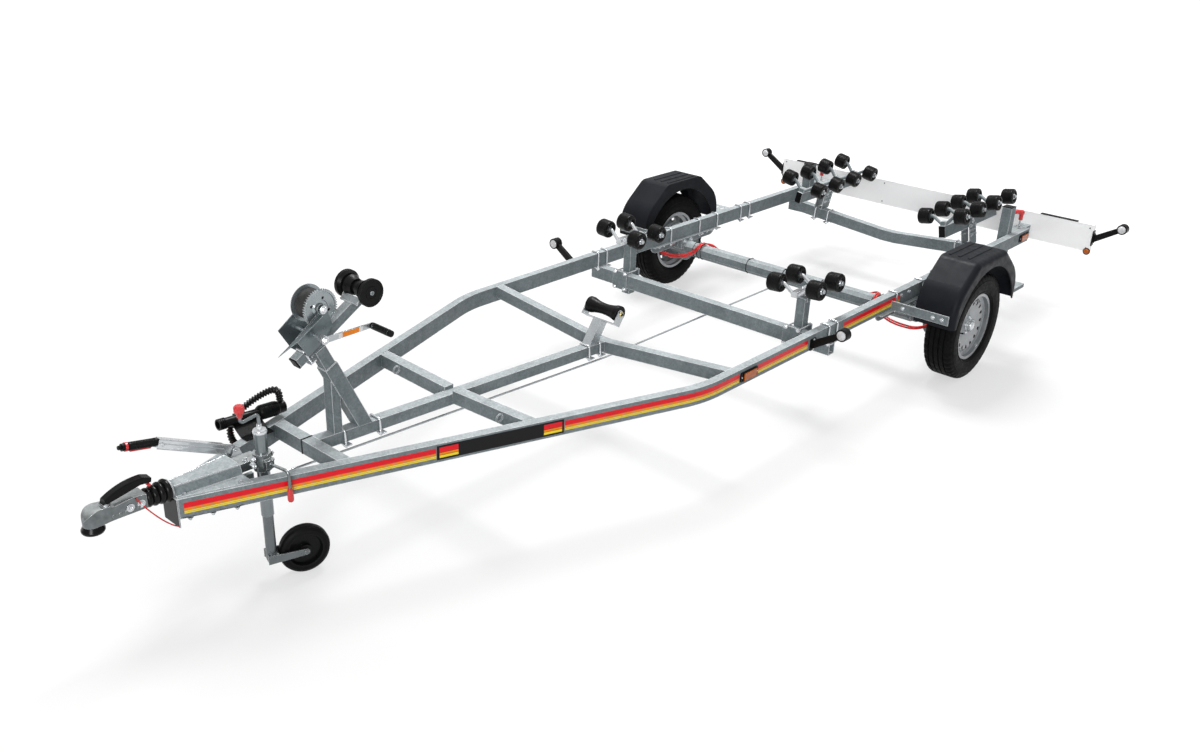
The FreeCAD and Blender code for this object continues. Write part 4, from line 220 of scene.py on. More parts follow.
def galvanised():
    """Hot-dip zinc on steel: crystal spangle, cloudy dulling, paler where the zinc ran; painted light paler on top,
    painted shade on the sides and a painted highlight along the edges.
    """
    finish = Finish("galvanised_steel", 0.5, metallic=0.08, edge=1.6, Specular_IOR_Level=0.3)
    tree = finish.tree
    grain = add_node(tree, "ShaderNodeRGBToBW", {"Color": finish.cells(150.0, "Color")}).outputs[0]
    crystal = ramp(tree, grain, [(0.15, (0.285, 0.330, 0.346)), (0.85, (0.400, 0.442, 0.456))])
    clouds = finish.noise(3.2, [(0.32, 0.86), (0.68, 1.08)], 5.0, 0.6)
    mottles = finish.noise(24.0, [(0.32, 0.86), (0.5, 1.0), (0.7, 1.16)], 6.0, 0.7)
    upright = add_node(tree, "ShaderNodeMapping", {"Vector": finish.coords, "Scale": (26.0, 26.0, 3.0)}).outputs[0]
    runs = finish.noise(1.0, [(0.3, 0.88), (0.62, 1.0), (0.8, 1.22)], 5.0, 0.65, upright)
    # Painted light and shade: paler on top, darker on the sides and below.
    body = finish.painted_top_light_side_shade(finish.product(crystal, clouds, mottles, runs), (0.575, 0.60, 0.61), (1.15, 1.125, 1.115))
    # Painted highlight along the edges.
    finish.colour(finish.painted_edge_highlight(body, (0.95, 0.97, 0.98), 4.4, 5.0))
    finish.rough(finish.noise(14.0, [(0.3, 0.46), (0.75, 0.62)], 4.0))
    finish.bump(finish.noise(60.0), 0.2, 0.4)
    return finish.material


def shades(tone, low, high=1.0):
    """A darker and a lighter shade of a colour."""
    return [[min(part * gain, 1.0) for part in tone] for gain in (low, high)]


def bright_zinc(name="zinc_plate", tone=(0.50, 0.53, 0.55), roughness=0.24):
    """Electro-plated small steel: smoother and lighter than the dipped frame, with a painted highlight along the edges.
    """
    finish = Finish(name, roughness, metallic=0.7)
    low, high = shades(tone, 0.9, 1.08)
    patches = finish.noise(16.0, [(0.32, low), (0.68, high)], 4.0)
    # Painted highlight along the edges.
    finish.colour(finish.painted_edge_highlight(patches, (0.94, 0.96, 0.97), 1.8, 2.4))
    finish.rough(finish.noise(30.0, [(0.3, roughness * 0.8), (0.7, roughness * 1.4)]))
    finish.bump(finish.noise(40.0), 0.04, 0.3)
    return finish.material


def cast_zinc():
    """Zinc-coated casting with a grainy sand-mould skin, painted light paler on top, painted shade on the sides and a
    painted highlight along the edges.
    """
    finish = Finish("cast_zinc", 0.24, metallic=0.75, edge=2.2)
    tone = finish.noise(30.0, [(0.3, (0.24, 0.262, 0.268)), (0.7, (0.42, 0.445, 0.45))], 5.0)
    # Painted light and shade: paler on top, darker on the sides and below.
    tone = finish.painted_top_light_side_shade(tone, (0.48, 0.50, 0.505), (1.35, 1.34, 1.33))
    # Painted highlight along the edges.
    finish.colour(finish.painted_edge_highlight(tone, (0.94, 0.95, 0.95), 3.6, 2.6))
    finish.bump(finish.noise(180.0, detail=4.0), 0.35, 0.5)
    return finish.material


def rubber(name, tone, roughness, grain=0.25, level=0.3):
    """Moulded black rubber with a little dust."""
    finish = Finish(name, roughness, edge=1.2, Specular_IOR_Level=level)
    finish.colour(finish.noise(22.0, [(0.35, tone), (0.75, tone * 1.9)], 5.0))
    finish.rough(finish.noise(60.0, [(0.3, roughness * 0.8), (0.7, roughness * 1.25)]))
    finish.bump(finish.noise(420.0), grain, 0.6)
    return finish.material


def plastic(name, tone, roughness, coat=0.0, level=0.5):
    finish = Finish(name, roughness, edge=0.9, Coat_Weight=coat, Specular_IOR_Level=level)
    low, high = shades(tone, 0.86, 1.1)
    finish.colour(finish.noise(18.0, [(0.35, low), (0.7, high)], 4.0))
    finish.rough(finish.noise(70.0, [(0.3, roughness * 0.82), (0.7, roughness * 1.2)]))
    finish.bump(finish.noise(500.0), 0.08, 0.5)
    return finish.material


def guard_plastic():
    """Black polyethylene with a fine hammered grain and a dusty bloom."""
    finish = Finish("guard_plastic", 0.44, edge=3.0, Specular_IOR_Level=0.10)
    finish.colour(finish.noise(9.0, [(0.3, (0.0085, 0.0095, 0.0125)), (0.75, (0.0135, 0.015, 0.0195))], 5.0))
    finish.rough(finish.noise(30.0, [(0.3, 0.34), (0.7, 0.52)]))
    finish.bump(finish.cells(420.0, "Distance"), 0.35, 0.5)
    return finish.material


def lens(name, tone):
    """Moulded lens: coloured, glossy, with a fine prism grid."""
    finish = Finish(name, 0.16, edge=0.6, Coat_Weight=0.25, Specular_IOR_Level=0.3)
    low, high = shades(tone, 0.75)
    finish.colour(finish.noise(60.0, [(0.3, low), (0.7, high)]))
    finish.bump(finish.cells(260.0, "Distance"), 0.5, 0.6)
    return finish.material


def board_white():
    """White panel; the faint glow keeps its shaded face white, as in the photograph."""
    finish = Finish("white_panel", 0.3, edge=1.0, Coat_Weight=0.3, Emission_Color=WHITE, Emission_Strength=0.12)
    finish.colour(finish.noise(7.0, [(0.3, (0.88, 0.885, 0.89)), (0.7, (0.94, 0.945, 0.95))], 5.0))
    finish.bump(finish.noise(90.0), 0.1, 0.3)
    return finish.material


def silver_paint():
    finish = Finish("wheel_silver", 0.34, metallic=0.55, edge=1.2, Coat_Weight=0.25)
    flakes = finish.noise(900.0, [(0.3, (0.27, 0.285, 0.30)), (0.7, (0.38, 0.395, 0.41))], 2.0)
    dust = finish.noise(14.0, [(0.3, 0.82), (0.7, 1.05)], 4.0)
    # Painted highlight where the surface turns over an edge, such as the rim's lip.
    finish.colour(finish.painted_edge_highlight(finish.product(flakes, dust), (0.80, 0.82, 0.84), 4.0, 3.0))
    return finish.material


def enamel(name, tone, roughness=0.3, level=0.3):
    """Printed or painted colour with a slight unevenness."""
    finish = Finish(name, roughness, edge=0.0, Specular_IOR_Level=level)
    low, high = shades(tone, 0.88)
    finish.colour(finish.noise(30.0, [(0.3, low), (0.7, high)]))
    finish.bump(finish.noise(300.0), 0.05, 0.3)
    return finish.material


GALVANISED = galvanised()
ZINC = bright_zinc()
STEEL = bright_zinc("bright_steel", (0.66, 0.68, 0.70), 0.16)
DARK_STEEL = bright_zinc("dark_steel", (0.15, 0.168, 0.174), 0.3)
# Plated zinc drawn darker for the jockey tube: painted shade and a painted dark reflection.
TUBE_ZINC = bright_zinc("tube_zinc", (0.21, 0.236, 0.245), 0.16)
WINCH_PLATE = bright_zinc("winch_plate", (0.155, 0.185, 0.195), 0.3)
# Plated zinc drawn darker for the winch drum: painted shade between its teeth, against the painted edge highlight.
GEAR_ZINC = bright_zinc("gear_zinc", (0.33, 0.37, 0.385), 0.2)
YELLOW_ZINC = bright_zinc("yellow_zinc", (0.56, 0.50, 0.30), 0.24)
CAST = cast_zinc()
RUBBER = rubber("black_rubber", 0.0042, 0.34, level=0.12)
BELLOWS_RUBBER = rubber("bellows_rubber", 0.0035, 0.24, level=0.16)
TYRE_RUBBER = rubber("tyre_rubber", 0.0038, 0.5, 0.4, level=0.05)
ROLLER_RUBBER = rubber("roller_rubber", 0.0038, 0.3, 0.2, level=0.12)
WHEEL_RUBBER = rubber("wheel_rubber", 0.004, 0.4, level=0.08)
STRAP = rubber("strap_web", 0.03, 0.75, 0.5)
BLACK_PLASTIC = plastic("black_plastic", (0.005, 0.0053, 0.0057), 0.3, level=0.12)
HUB_PLASTIC = plastic("hub_plastic", (0.05, 0.053, 0.056), 0.3)
# Dark sheets of painted shade, laid where holes and open tube ends show.
DARK = plastic("painted_opening_shade", (0.012, 0.012, 0.013), 0.7)
RED_PLASTIC = plastic("red_plastic", (0.68, 0.022, 0.025), 0.28, coat=0.4)
RED_CABLE = plastic("red_cable", (0.72, 0.03, 0.03), 0.38)
LANYARD = plastic("lanyard_red", (0.70, 0.02, 0.022), 0.36)
CONDUIT = plastic("conduit_black", (0.007, 0.0073, 0.0077), 0.26, level=0.3)
GUARD = guard_plastic()
SILVER = silver_paint()
BOARD = board_white()
ORANGE_LENS = lens("orange_lens", (0.54, 0.115, 0.005))
RED_LENS = lens("red_lens", (0.72, 0.02, 0.02))
CLEAR_LENS = lens("clear_lens", (0.82, 0.83, 0.84))
STRIPE_RED = enamel("stripe_red", (0.86, 0.006, 0.018))
STRIPE_ORANGE = enamel("stripe_orange", (0.98, 0.27, 0.008))
STRIPE_YELLOW = enamel("stripe_yellow", (1.0, 0.76, 0.03))
STRIPE_BLACK = enamel("stripe_black", (0.010, 0.010, 0.011), 0.35, level=0.15)
WHITE_PAINT = enamel("white_paint", (0.85, 0.85, 0.84))


# Shapes built in mesh code

def frame_at(origin, along=UP, aside=None):
    """A place whose Z runs along a direction and whose X is as near aside as it can be."""
    z = Vector(along).normalized()
    aside = Vector(aside) if aside is not None else (AHEAD if abs(z.x) < 0.9 else LEFT)
    x = (aside - z * aside.dot(z)).normalized()
    return Matrix.Translation(Vector(origin)) @ Matrix((x, z.cross(x), z)).transposed().to_4x4()


def around(count):
    """Angles spread evenly over a full turn."""
    return [2 * pi * i / count for i in range(count)]


def circle(radius, height, segments):
    return [(radius * cos(angle), radius * sin(angle), height) for angle in around(segments)]


class Shape:
    """One piece under construction; each call adds a closed form to it."""

    def __init__(self):
        self.points, self.faces = [], []

    def add(self, points, faces, at=None):
        first = len(self.points)
        at = at or Matrix.Identity(4)
        self.points += [at @ Vector(p) for p in points]
        self.faces += [tuple(first + i for i in face) for face in faces]
        return self

    def loft(self, rows, at=None, closed=False):
        """A skin over rows of points, closed back on itself or capped at both ends."""
        count, wide = len(rows), len(rows[0])
        faces = []
        for row in range(count if closed else count - 1):
            a, b = row * wide, (row + 1) % count * wide
            faces += [(a + i, a + (i + 1) % wide, b + (i + 1) % wide, b + i) for i in range(wide)]
        if not closed:
            faces += [tuple(range(wide))[::-1], tuple(range((count - 1) * wide, count * wide))]
        return self.add([p for row in rows for p in row], faces, at)

    def box(self, low, high, at=None):
        xs, ys, zs = zip(low, high)
        corners = [(x, y, z) for x in xs for y in ys for z in zs]
        faces = [(0, 1, 3, 2), (4, 6, 7, 5), (0, 4, 5, 1), (2, 3, 7, 6), (0, 2, 6, 4), (1, 5, 7, 3)]
        return self.add(corners, faces, at)

    def block(self, centre, size, at=None):
        return self.box([c - s / 2 for c, s in zip(centre, size)], [c + s / 2 for c, s in zip(centre, size)], at)

    def turned(self, profile, at=None, segments=32):
        """Revolve (radius, height) points about Z, with a flat end at both."""
        return self.loft([circle(radius, height, segments) for radius, height in profile], at)

    def ring(self, section, at=None, segments=32):
        """Revolve a closed section of (radius, height) points about Z."""
        return self.loft([circle(radius, height, segments) for radius, height in section], at, closed=True)

    def prism(self, outline, low, high, at=None):
        """A flat outline in X and Y, raised from low to high along Z."""
        return self.loft([[(x, y, z) for x, y in outline] for z in (low, high)], at)

    def rounded(self, centre, size, radius, at):
        """A plate with rounded corners in its X and Y, from the centre's height up."""
        outline = []
        for sx, sy, start in ((1, 1, 0), (-1, 1, 90), (-1, -1, 180), (1, -1, 270)):
            for turn in (radians(start + 90 * k / 4) for k in range(5)):
                outline.append((centre[0] + sx * (size[0] / 2 - radius) + radius * cos(turn),
                                centre[1] + sy * (size[1] / 2 - radius) + radius * sin(turn)))
        return self.prism(outline, centre[2], centre[2] + size[2], at)

    def tube(self, route, radius, segments=12, closed=False):
        """A round tube along points; the radius may change from point to point."""
        route = [Vector(p) for p in route]
        count = len(route)
        radii = radius if isinstance(radius, (list, tuple)) else [radius] * count
        side, rows = None, []
        for i, spot in enumerate(route):
            before = route[i - 1] if closed or i else spot
            after = route[(i + 1) % count] if closed or i < count - 1 else spot
            along = (after - before).normalized()
            side = side or along.orthogonal().normalized()
            side = (side - along * side.dot(along)).normalized()
            over = along.cross(side)
            rows.append([spot + (side * cos(a) + over * sin(a)) * radii[i] for a in around(segments)])
        return self.loft(rows, None, closed)

    def bolt(self, at, across=13, head=7, stud=0):
        """A hexagon head or nut on its washer, with a chamfered or threaded end."""
        reach, washer = across / sqrt(3), 2
        self.turned([(0, 0), (reach * 1.5, 0), (reach * 1.5, washer), (0, washer)], at, 20)
        self.turned([(reach, washer), (reach, head * 0.85 + washer), (reach * 0.86, head + washer)], at, 6)
        if stud:
            self.turned([(reach * 0.5, head), (reach * 0.5, head + stud), (reach * 0.42, head + stud + 1)], at, 12)
        return self

    def u_bolt(self, at, width, height):
        """A rod over a tube, a plate under it and two nuts; the place is on the tube's top, X across it."""
        rod, plate = 5, 5
        reach, bend = width / 2 + rod, rod * 1.8
        route = [Vector((-reach, 0, -height - 20)), Vector((-reach, 0, rod - bend))]
        for turn in (pi / 8 * k for k in range(1, 5)):
            route.append(Vector((-reach + bend * (1 - cos(turn)), 0, rod - bend + bend * sin(turn))))
        route += [Vector((-p.x, 0, p.z)) for p in reversed(route)]
        self.tube([at @ p for p in route], rod, 10)
        self.block((0, 0, -height - plate / 2), (width + 58, 28, plate), at)
        for side in (-1, 1):
            nut = Matrix.Translation((reach * side, 0, -height - plate)) @ Matrix.Rotation(pi, 4, "X")
            self.bolt(at @ nut, 17, 9)
        return self

    def piece(self, name, material, body="frame", slot=None, soft_angle=38.0):
        mesh = bpy.data.meshes.new(name)
        mesh.from_pydata([tuple(p * MM) for p in self.points], [], self.faces)
        mesh.validate()
        mesh.polygons.foreach_set("use_smooth", [True] * len(mesh.polygons))
        mesh.set_sharp_from_angle(angle=radians(soft_angle))
        mesh.materials.append(material)
        item = link(name, mesh)
        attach(item, body)
        return item


# Places and sizes read off the frame

def box(name):
    return [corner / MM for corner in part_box(name)]


def middle(name):
    low, high = box(name)
    return (low + high) / 2


def surface(name, origin, direction):
    """Where a ray from outside meets a node."""
    item = NODES[name]
    back = item.matrix_world.inverted()
    hit, spot, _, _ = item.ray_cast(back @ (Vector(origin) * MM), (back.to_3x3() @ direction).normalized())
    return (item.matrix_world @ spot) / MM if hit else None


def joint_place(name):
    return Vector(JOINTS[name]["pos_m"]) / MM


def joint_axis(name):
    return Vector(JOINTS[name]["axis"]).normalized()


BEAM_LOW, BEAM_HIGH = box("side_beam_left")
NOSE_X, FRAME_HALF = BEAM_HIGH.x, BEAM_HIGH.y
BEAM_TOP, BEAM_BOTTOM = BEAM_HIGH.z, BEAM_LOW.z
BEAM_WIDTH, NOSE_HALF = 40, 51
KINK_RUN, KINK_RADIUS = 2091, 600
NOSE_ANGLE = atan2(FRAME_HALF - NOSE_HALF, KINK_RUN)
BEND_BACK = KINK_RADIUS * tan(NOSE_ANGLE / 2)
AXLE = middle("rim_left")


# Stripes on the outer faces of the side beams: heights are drops from the beam's top, runs lie behind the nose

STRIPE_LINES = (
    ("red", STRIPE_RED, 18, 39),
    ("orange", STRIPE_ORANGE, 40, 48),
    ("yellow", STRIPE_YELLOW, 50, 55),
    ("amber", STRIPE_YELLOW, 56.5, 61),
)
STRIPE_RUNS = ((16, 912), (1442, 2340), (2478, 2900), (3228, 3795))
BLOCK_RUN, BLOCK_DROP = (915, 1438), (9, 70)
BAND_STEP = 25.1
BLOCK_FLAGS = ((925, 1000), (1352, 1430))
FLAG_LINES = ((STRIPE_RED, 17, 38), (STRIPE_ORANGE, 40, 49), (STRIPE_YELLOW, 51, 62))


def outer_face(run):
    """A point (x, y) and the outward direction on the left beam's outer face, at a run behind the nose."""
    x, bend_x = NOSE_X - run, NOSE_X - KINK_RUN - BEND_BACK
    if run < KINK_RUN - BEND_BACK * cos(NOSE_ANGLE):
        y, turn = NOSE_HALF + run * tan(NOSE_ANGLE), NOSE_ANGLE
    elif x > bend_x:
        turn = asin((x - bend_x) / KINK_RADIUS)
        y = FRAME_HALF - KINK_RADIUS * (1 - cos(turn))
    else:
        y, turn = FRAME_HALF, 0.0
    return Vector((x, y, 0)), Vector((sin(turn), cos(turn), 0))


def band(shape, runs, drops, way, lift=0.4):
    """A thin printed band along the beam between two runs and two drops."""
    (first, last), (top, bottom) = runs, (BEAM_TOP - drop for drop in drops)
    count = max(2, int((last - first) / BAND_STEP))
    rows = []
    for i in range(count + 1):
        spot, out = outer_face(first + (last - first) * i / count)
        row = [(spot + out * off, z) for z, off in ((bottom, 0), (top, 0), (top, lift), (bottom, lift))]
        rows.append([(p.x, p.y * way, z) for p, z in row[::way]])
    shape.loft(rows)


def stripes():
    for way, side in SIDES:
        for name, paint, *drops in STRIPE_LINES:
            line = Shape()
            for runs in STRIPE_RUNS:
                band(line, runs, drops, way)
            line.piece(f"stripe_{name}_{side}", paint)
        block = Shape()
        band(block, BLOCK_RUN, BLOCK_DROP, way)
        block.piece(f"stripe_block_{side}", STRIPE_BLACK)
        for i, (paint, *drops) in enumerate(FLAG_LINES):
            flag = Shape()
            for runs in BLOCK_FLAGS:
                band(flag, runs, drops, way, lift=0.8)
            flag.piece(f"stripe_flag_{i}_{side}", paint)


# U-bolts on the side beams and the spine, and a band round the front cross-member

AXLE_CLAMPS = (-1124, -1410, -1594, -1851, -1949)
WINCH_CLAMP_RUNS, KEEL_CLAMP_RUNS = (732, 905), (40, 118)
SPINE_DROP = 78


def beam_clamps():
    """Over the cross-beam of the middle rollers and over the channels of the axle."""
    bunk_low, bunk_high = box("bunk_cross_beam")
    for way, side in SIDES:
        shape = Shape()
        for x in (bunk_high.x + 9, bunk_low.x - 15, *AXLE_CLAMPS):
            at = frame_at((x, (FRAME_HALF - BEAM_WIDTH / 2) * way, BEAM_TOP), UP, LEFT)
            shape.u_bolt(at, BEAM_WIDTH, BEAM_TOP - BEAM_BOTTOM + 1)
        shape.piece(f"beam_clamps_{side}", STEEL)


def spine_clamps():
    low, high = box("spine_beam")
    slope, width = SPINE_DROP / (high.x - low.x), high.y - low.y
    shape = Shape()
    for x in (*(NOSE_X - run for run in WINCH_CLAMP_RUNS), *(low.x + run for run in KEEL_CLAMP_RUNS)):
        top = high.z - (high.x - x) * slope
        shape.u_bolt(frame_at((x, 0, top), (slope, 0, 1), LEFT), width, width + 1)
    shape.piece("spine_clamps", STEEL)


def front_band():
    low, high = box("front_cross_member")
    skin, near, far = 1.2, -26, -18
    strip = Shape().box((low.x - skin, near, high.z), (high.x + skin, far, high.z + skin))
    strip.box((high.x, near, low.z - skin), (high.x + skin, far, high.z + skin))
    strip.box((low.x - skin, near, low.z - skin), (high.x + skin, far, low.z))
    strip.piece("front_band", BLACK_PLASTIC)


# Drawbar cover, nose sills and coupling

COVER_BOLT_RUNS = (34, 222)
COVER_CREASES = ((0, 49.4, 22.4), (37.6, 61.8, 34.6))
BOSS_STATIONS, BOSS_HEIGHT = (2756, 2778, 2800, 2822, 2846), 503


def cover_details():
    bolts, creases, sill = Shape(), Shape(), Shape()
    for run in COVER_BOLT_RUNS:
        y = NOSE_HALF + run * tan(NOSE_ANGLE) - BEAM_WIDTH * 0.62
        for way in (1, -1):
            bolts.bolt(frame_at((NOSE_X - run, y * way, BEAM_TOP + 3.3), UP))
    bolts.piece("cover_bolts", ZINC)
    low, high = box("drawbar_cover")
    # Thin tubes along the cover's raised creases, in steel brighter than the cover as a painted highlight.
    for way in (1, -1):
        for drop, rear_y, front_y in COVER_CREASES:
            z = high.z - drop
            creases.tube([(low.x + 2, rear_y * way, z), (high.x - 2, front_y * way, z)], 1.5, 10)
    creases.piece("cover_creases", STEEL)
    for way in (1, -1):
        out = Vector((sin(NOSE_ANGLE), cos(NOSE_ANGLE) * way, 0))
        along = Vector((out.y, -out.x, 0))
        spot = Vector((NOSE_X - 110, (NOSE_HALF + 110 * tan(NOSE_ANGLE)) * way, BEAM_BOTTOM))
        sill.block((0, -3 * way, 0), (215, 6, 44), frame_at(spot - out * 22, out, along))
        for shift in (-85, 0, 80):
            sill.bolt(frame_at(spot - UP * 6 - out * 14 + along * shift, -UP), 13, 8, 4)
    sill.piece("nose_sills", ZINC)


def coupling_details():
    low, high = box("coupling_head")
    bolts, pivot, bosses = Shape(), Shape(), Shape()
    for x in (low.x + 22, low.x + 62):
        for way in (1, -1):
            bolts.bolt(frame_at((x, 29.5 * way, (low.z + high.z) / 2 - 6), LEFT * way), 17, 9, 3)
    bolts.piece("coupling_bolts", STEEL)
    for way in (1, -1):
        pivot.bolt(frame_at((low.x + 140, 16 * way, high.z - 8), LEFT * way), 13, 6)
    pivot.piece("handle_pivot", STEEL)
    handle = box("coupling_handle")[0]
    button = Shape().turned([(0, 0), (5, 0), (6, 1.5), (6, 26), (5, 27.5), (0, 27.5)],
                            frame_at((handle.x + 9, -13.75, handle.z + 13), LEFT), 20)
    button.piece("handle_button", RED_PLASTIC)
    for way in (1, -1):
        for x in BOSS_STATIONS:
            spot = surface("coupling_head", (x, 200 * way, BOSS_HEIGHT), -LEFT * way)
            if spot:
                bosses.turned([(6.5, -1), (6.5, 1.6), (4.5, 3.2), (2, 3.8)], frame_at(spot, LEFT * way), 20)
    bosses.piece("coupling_bosses", CAST)
    Shape().box((NOSE_X + 5.7, -50, 373), (NOSE_X + 6.3, 50, 484)).piece("nose_face", STRIPE_BLACK)


# Jockey wheel: clamp bolts, tube cap, hub, crank knob, clamp grip, rim and disc

CLAMP_HEIGHT, TUBE_TOP = 520, 640
KNOB_PLACE, KNOB_LOBES, KNOB_STEPS = (2358, 60, 738), 10, 80
GRIP_PLACE = (2266, 199.05, 392.7)


def jockey_details():
    x, y, _ = joint_place("jockey_swivel_turn")
    bolts, cap, hub, knob = Shape(), Shape(), Shape(), Shape()
    for z in (CLAMP_HEIGHT - 14, CLAMP_HEIGHT + 14):
        bolts.bolt(frame_at((x + 35, y + 4, z), AHEAD), 13, 8, 5)
        bolts.bolt(frame_at((x - 34, y + 6, z), -AHEAD), 13, 8)
    for across in (-30, 18):
        bolts.bolt(frame_at((x + 52, y + across, CLAMP_HEIGHT + 4), UP), 13, 8)
    bolts.piece("jockey_bolts", STEEL)
    cap.turned([(0, -8), (26, -8), (26.5, 0), (24, 5), (12, 7), (0, 7)], frame_at((x, y, TUBE_TOP - 2)), 32)
    cap.turned([(0, 0), (9.5, 0), (9.5, 22), (8, 24), (0, 24)], frame_at((x, y, TUBE_TOP)), 20)
    cap.piece("jockey_cap", STEEL)
    centre, axis = joint_place("jockey_wheel_spin"), joint_axis("jockey_wheel_spin")
    for way in (1, -1):
        at = frame_at(centre + axis * 20 * way, axis * way)
        hub.turned([(9, 0), (21, 0), (20, 4), (12, 6), (9, 6)], at, 28)
    hub.piece("jockey_hub", BLACK_PLASTIC, "jockey_wheel")
    at = frame_at(KNOB_PLACE)
    for low, high, reach in ((0, 18, 18.5), (18, 22, 17), (22, 25.5, 13)):
        lobes = [(reach + 1.3 * cos(KNOB_LOBES * a), a) for a in around(KNOB_STEPS)]
        knob.prism([(r * cos(a), r * sin(a)) for r, a in lobes], low, high, at)
    knob.turned([(10.6, -18), (11.5, -10), (17, 0)], at, 32)
    knob.piece("crank_knob_cover", RED_PLASTIC)
    grip = Shape().turned([(5, -1.5), (9, 0), (11.5, 5), (12, 14), (10.6, 40), (9, 52), (7, 56)],
                          frame_at(GRIP_PLACE), 28)
    grip.piece("clamp_grip_cover", RED_PLASTIC)


def jockey_rim():
    """Rim and dished disc inside the jockey wheel's rubber."""
    centre, axis = joint_place("jockey_wheel_spin"), joint_axis("jockey_wheel_spin")
    rim = Shape().ring([(62, -9), (68, -23.4), (74, -23.6), (66.5, -9), (66.5, 9), (74, 23.6), (68, 23.4), (62, 9)],
                       frame_at(centre, axis), 48)
    rim.piece("jockey_rim", BLACK_PLASTIC, "jockey_wheel")
    disc = Shape()
    for way in (1, -1):
        disc.ring([(8.2, 6.4), (64, 6.4), (64, 7.6), (24, 8.4), (24, 25.2), (8.2, 25.2)],
                  frame_at(centre, axis * way), 48)
    disc.piece("jockey_disc", BLACK_PLASTIC, "jockey_wheel")


# Handbrake lever: ribbed grip, button and folded channel

LEVER_TILT, GRIP_DROOP, LEVER_LENGTH = radians(25), radians(14), 340
GRIP_RADIUS, GRIP_LENGTH, GRIP_RIB = 15, 118, 5.5


def handbrake_details():
    pivot = joint_place("handbrake_pull")
    lean = Vector((cos(LEVER_TILT), 0, sin(LEVER_TILT)))
    over = Vector((-lean.z, 0, lean.x))
    start = pivot + lean * LEVER_LENGTH
    along = Vector((cos(LEVER_TILT - GRIP_DROOP), 0, sin(LEVER_TILT - GRIP_DROOP)))
    thick, long = GRIP_RADIUS, GRIP_LENGTH
    profile = [(0, -thick), (thick * 0.9, -thick), (thick * 1.06, -thick * 0.8)]
    for base in (i * GRIP_RIB for i in range(int((long - 26) / GRIP_RIB))):
        profile += [(thick * 1.06, base), (thick, base + GRIP_RIB * 0.3), (thick * 1.04, base + GRIP_RIB * 0.7)]
    profile += [(thick, long - 22), (thick * 0.92, long - 20), (thick * 0.92, long + 0.4), (0, long + 0.4)]
    Shape().turned(profile, frame_at(start, along), 28).piece("brake_grip", BLACK_PLASTIC, "handbrake")
    collar = Shape().turned([(thick * 0.9, 0), (thick * 1.1, 0), (thick * 1.1, 9), (thick * 0.9, 9)],
                            frame_at(start + along * (long - 20), along), 28)
    collar.piece("brake_collar", RED_PLASTIC, "handbrake")
    saddle = Shape().block((long * 0.42, 0, thick * 1.04), (long * 0.66, thick * 1.1, thick * 0.3),
                           frame_at(start, -along.cross(LEFT), along))
    saddle.piece("brake_grip_pad", RED_PLASTIC, "handbrake")
    button = Shape().turned([(8, 0), (8, 11), (6.5, 13)], frame_at(start + along * long, along), 20)
    button.piece("brake_button", BLACK_PLASTIC, "handbrake")
    side, deep, skin, near, far = 12.6, 18, 1.6, 52, LEVER_LENGTH - 14
    at = frame_at(pivot, over, lean)
    shell = Shape().box((near, -side, deep - skin), (far, side, deep), at)
    for way in (1, -1):
        inner, outer = sorted((side * way, (side - skin) * way))
        shell.box((near, inner, -deep * 1.15), (far, outer, deep), at)
        for height in (-deep * 1.05, deep * 0.1, deep * 0.9):
            shell.tube([pivot + lean * run + over * height + LEFT * side * way for run in (near, far)], 1.8, 10)
    shell.turned([(7, -0.2), (7, 4), (5, 5.4)], frame_at(pivot + lean * (far - 16) + LEFT * side, LEFT), 20)
    shell.piece("brake_lever_channel", STEEL, "handbrake")


# Winch, bow roller and keel roller

STRAP_TURNS, STRAP_HALF = 9, 34
CRANK_REACH, CRANK_FACE, CRANK_GRIP = 212, 117, 118
ARM_TILT, ARM_END = radians(31), Vector((2071.1, 0, 821.3))


def winch_details():
    drum, crank = joint_place("winch_drum_spin"), joint_place("winch_crank_spin")
    half, step = STRAP_HALF, 2 * STRAP_HALF / STRAP_TURNS
    profile = [(34, -half)]
    for z in (-half + step * i for i in range(STRAP_TURNS)):
        profile += [(57, z + 0.8), (58.5, z + step / 2), (57, z + step - 0.8)]
    Shape().turned([*profile, (34, half)], frame_at(drum, LEFT), 56).piece("strap_roll", STRAP, "winch_drum")
    nuts = Shape()
    for way in (1, -1):
        nuts.bolt(frame_at(drum + LEFT * 64 * way, LEFT * way), 19, 8)
    nuts.piece("winch_axle_nuts", STEEL)
    face = frame_at(crank + LEFT * CRANK_FACE, LEFT)
    Shape().bolt(face, 19, 9, 3).piece("crank_nut", STEEL, "winch_crank")
    patch, ends = Shape(), Shape()
    for shape, first, last in ((patch, -0.72, -0.36), (ends, -0.8, -0.72), (ends, -0.36, -0.28)):
        shape.box((CRANK_REACH * first, -9, 0), (CRANK_REACH * last, 9, 0.5), face)
    patch.piece("crank_patch", STRIPE_ORANGE, "winch_crank")
    ends.piece("crank_patch_ends", WHITE_PAINT, "winch_crank")
    ridge, long = [(0, 0), (12.5, 0)], CRANK_GRIP
    for z in (8 + i * 6.4 for i in range(16)):
        ridge += [(13.6, z), (13.6, z + 3.6), (12.6, z + 4.4)]
    ridge += [(13, long - 2), (10, long + 0.4), (0, long + 0.4)]
    grip = Shape().turned(ridge, frame_at(crank + Vector((-CRANK_REACH, CRANK_FACE + 0.4, 0)), LEFT), 28)
    grip.piece("crank_grip_cover", BLACK_PLASTIC, "winch_crank")


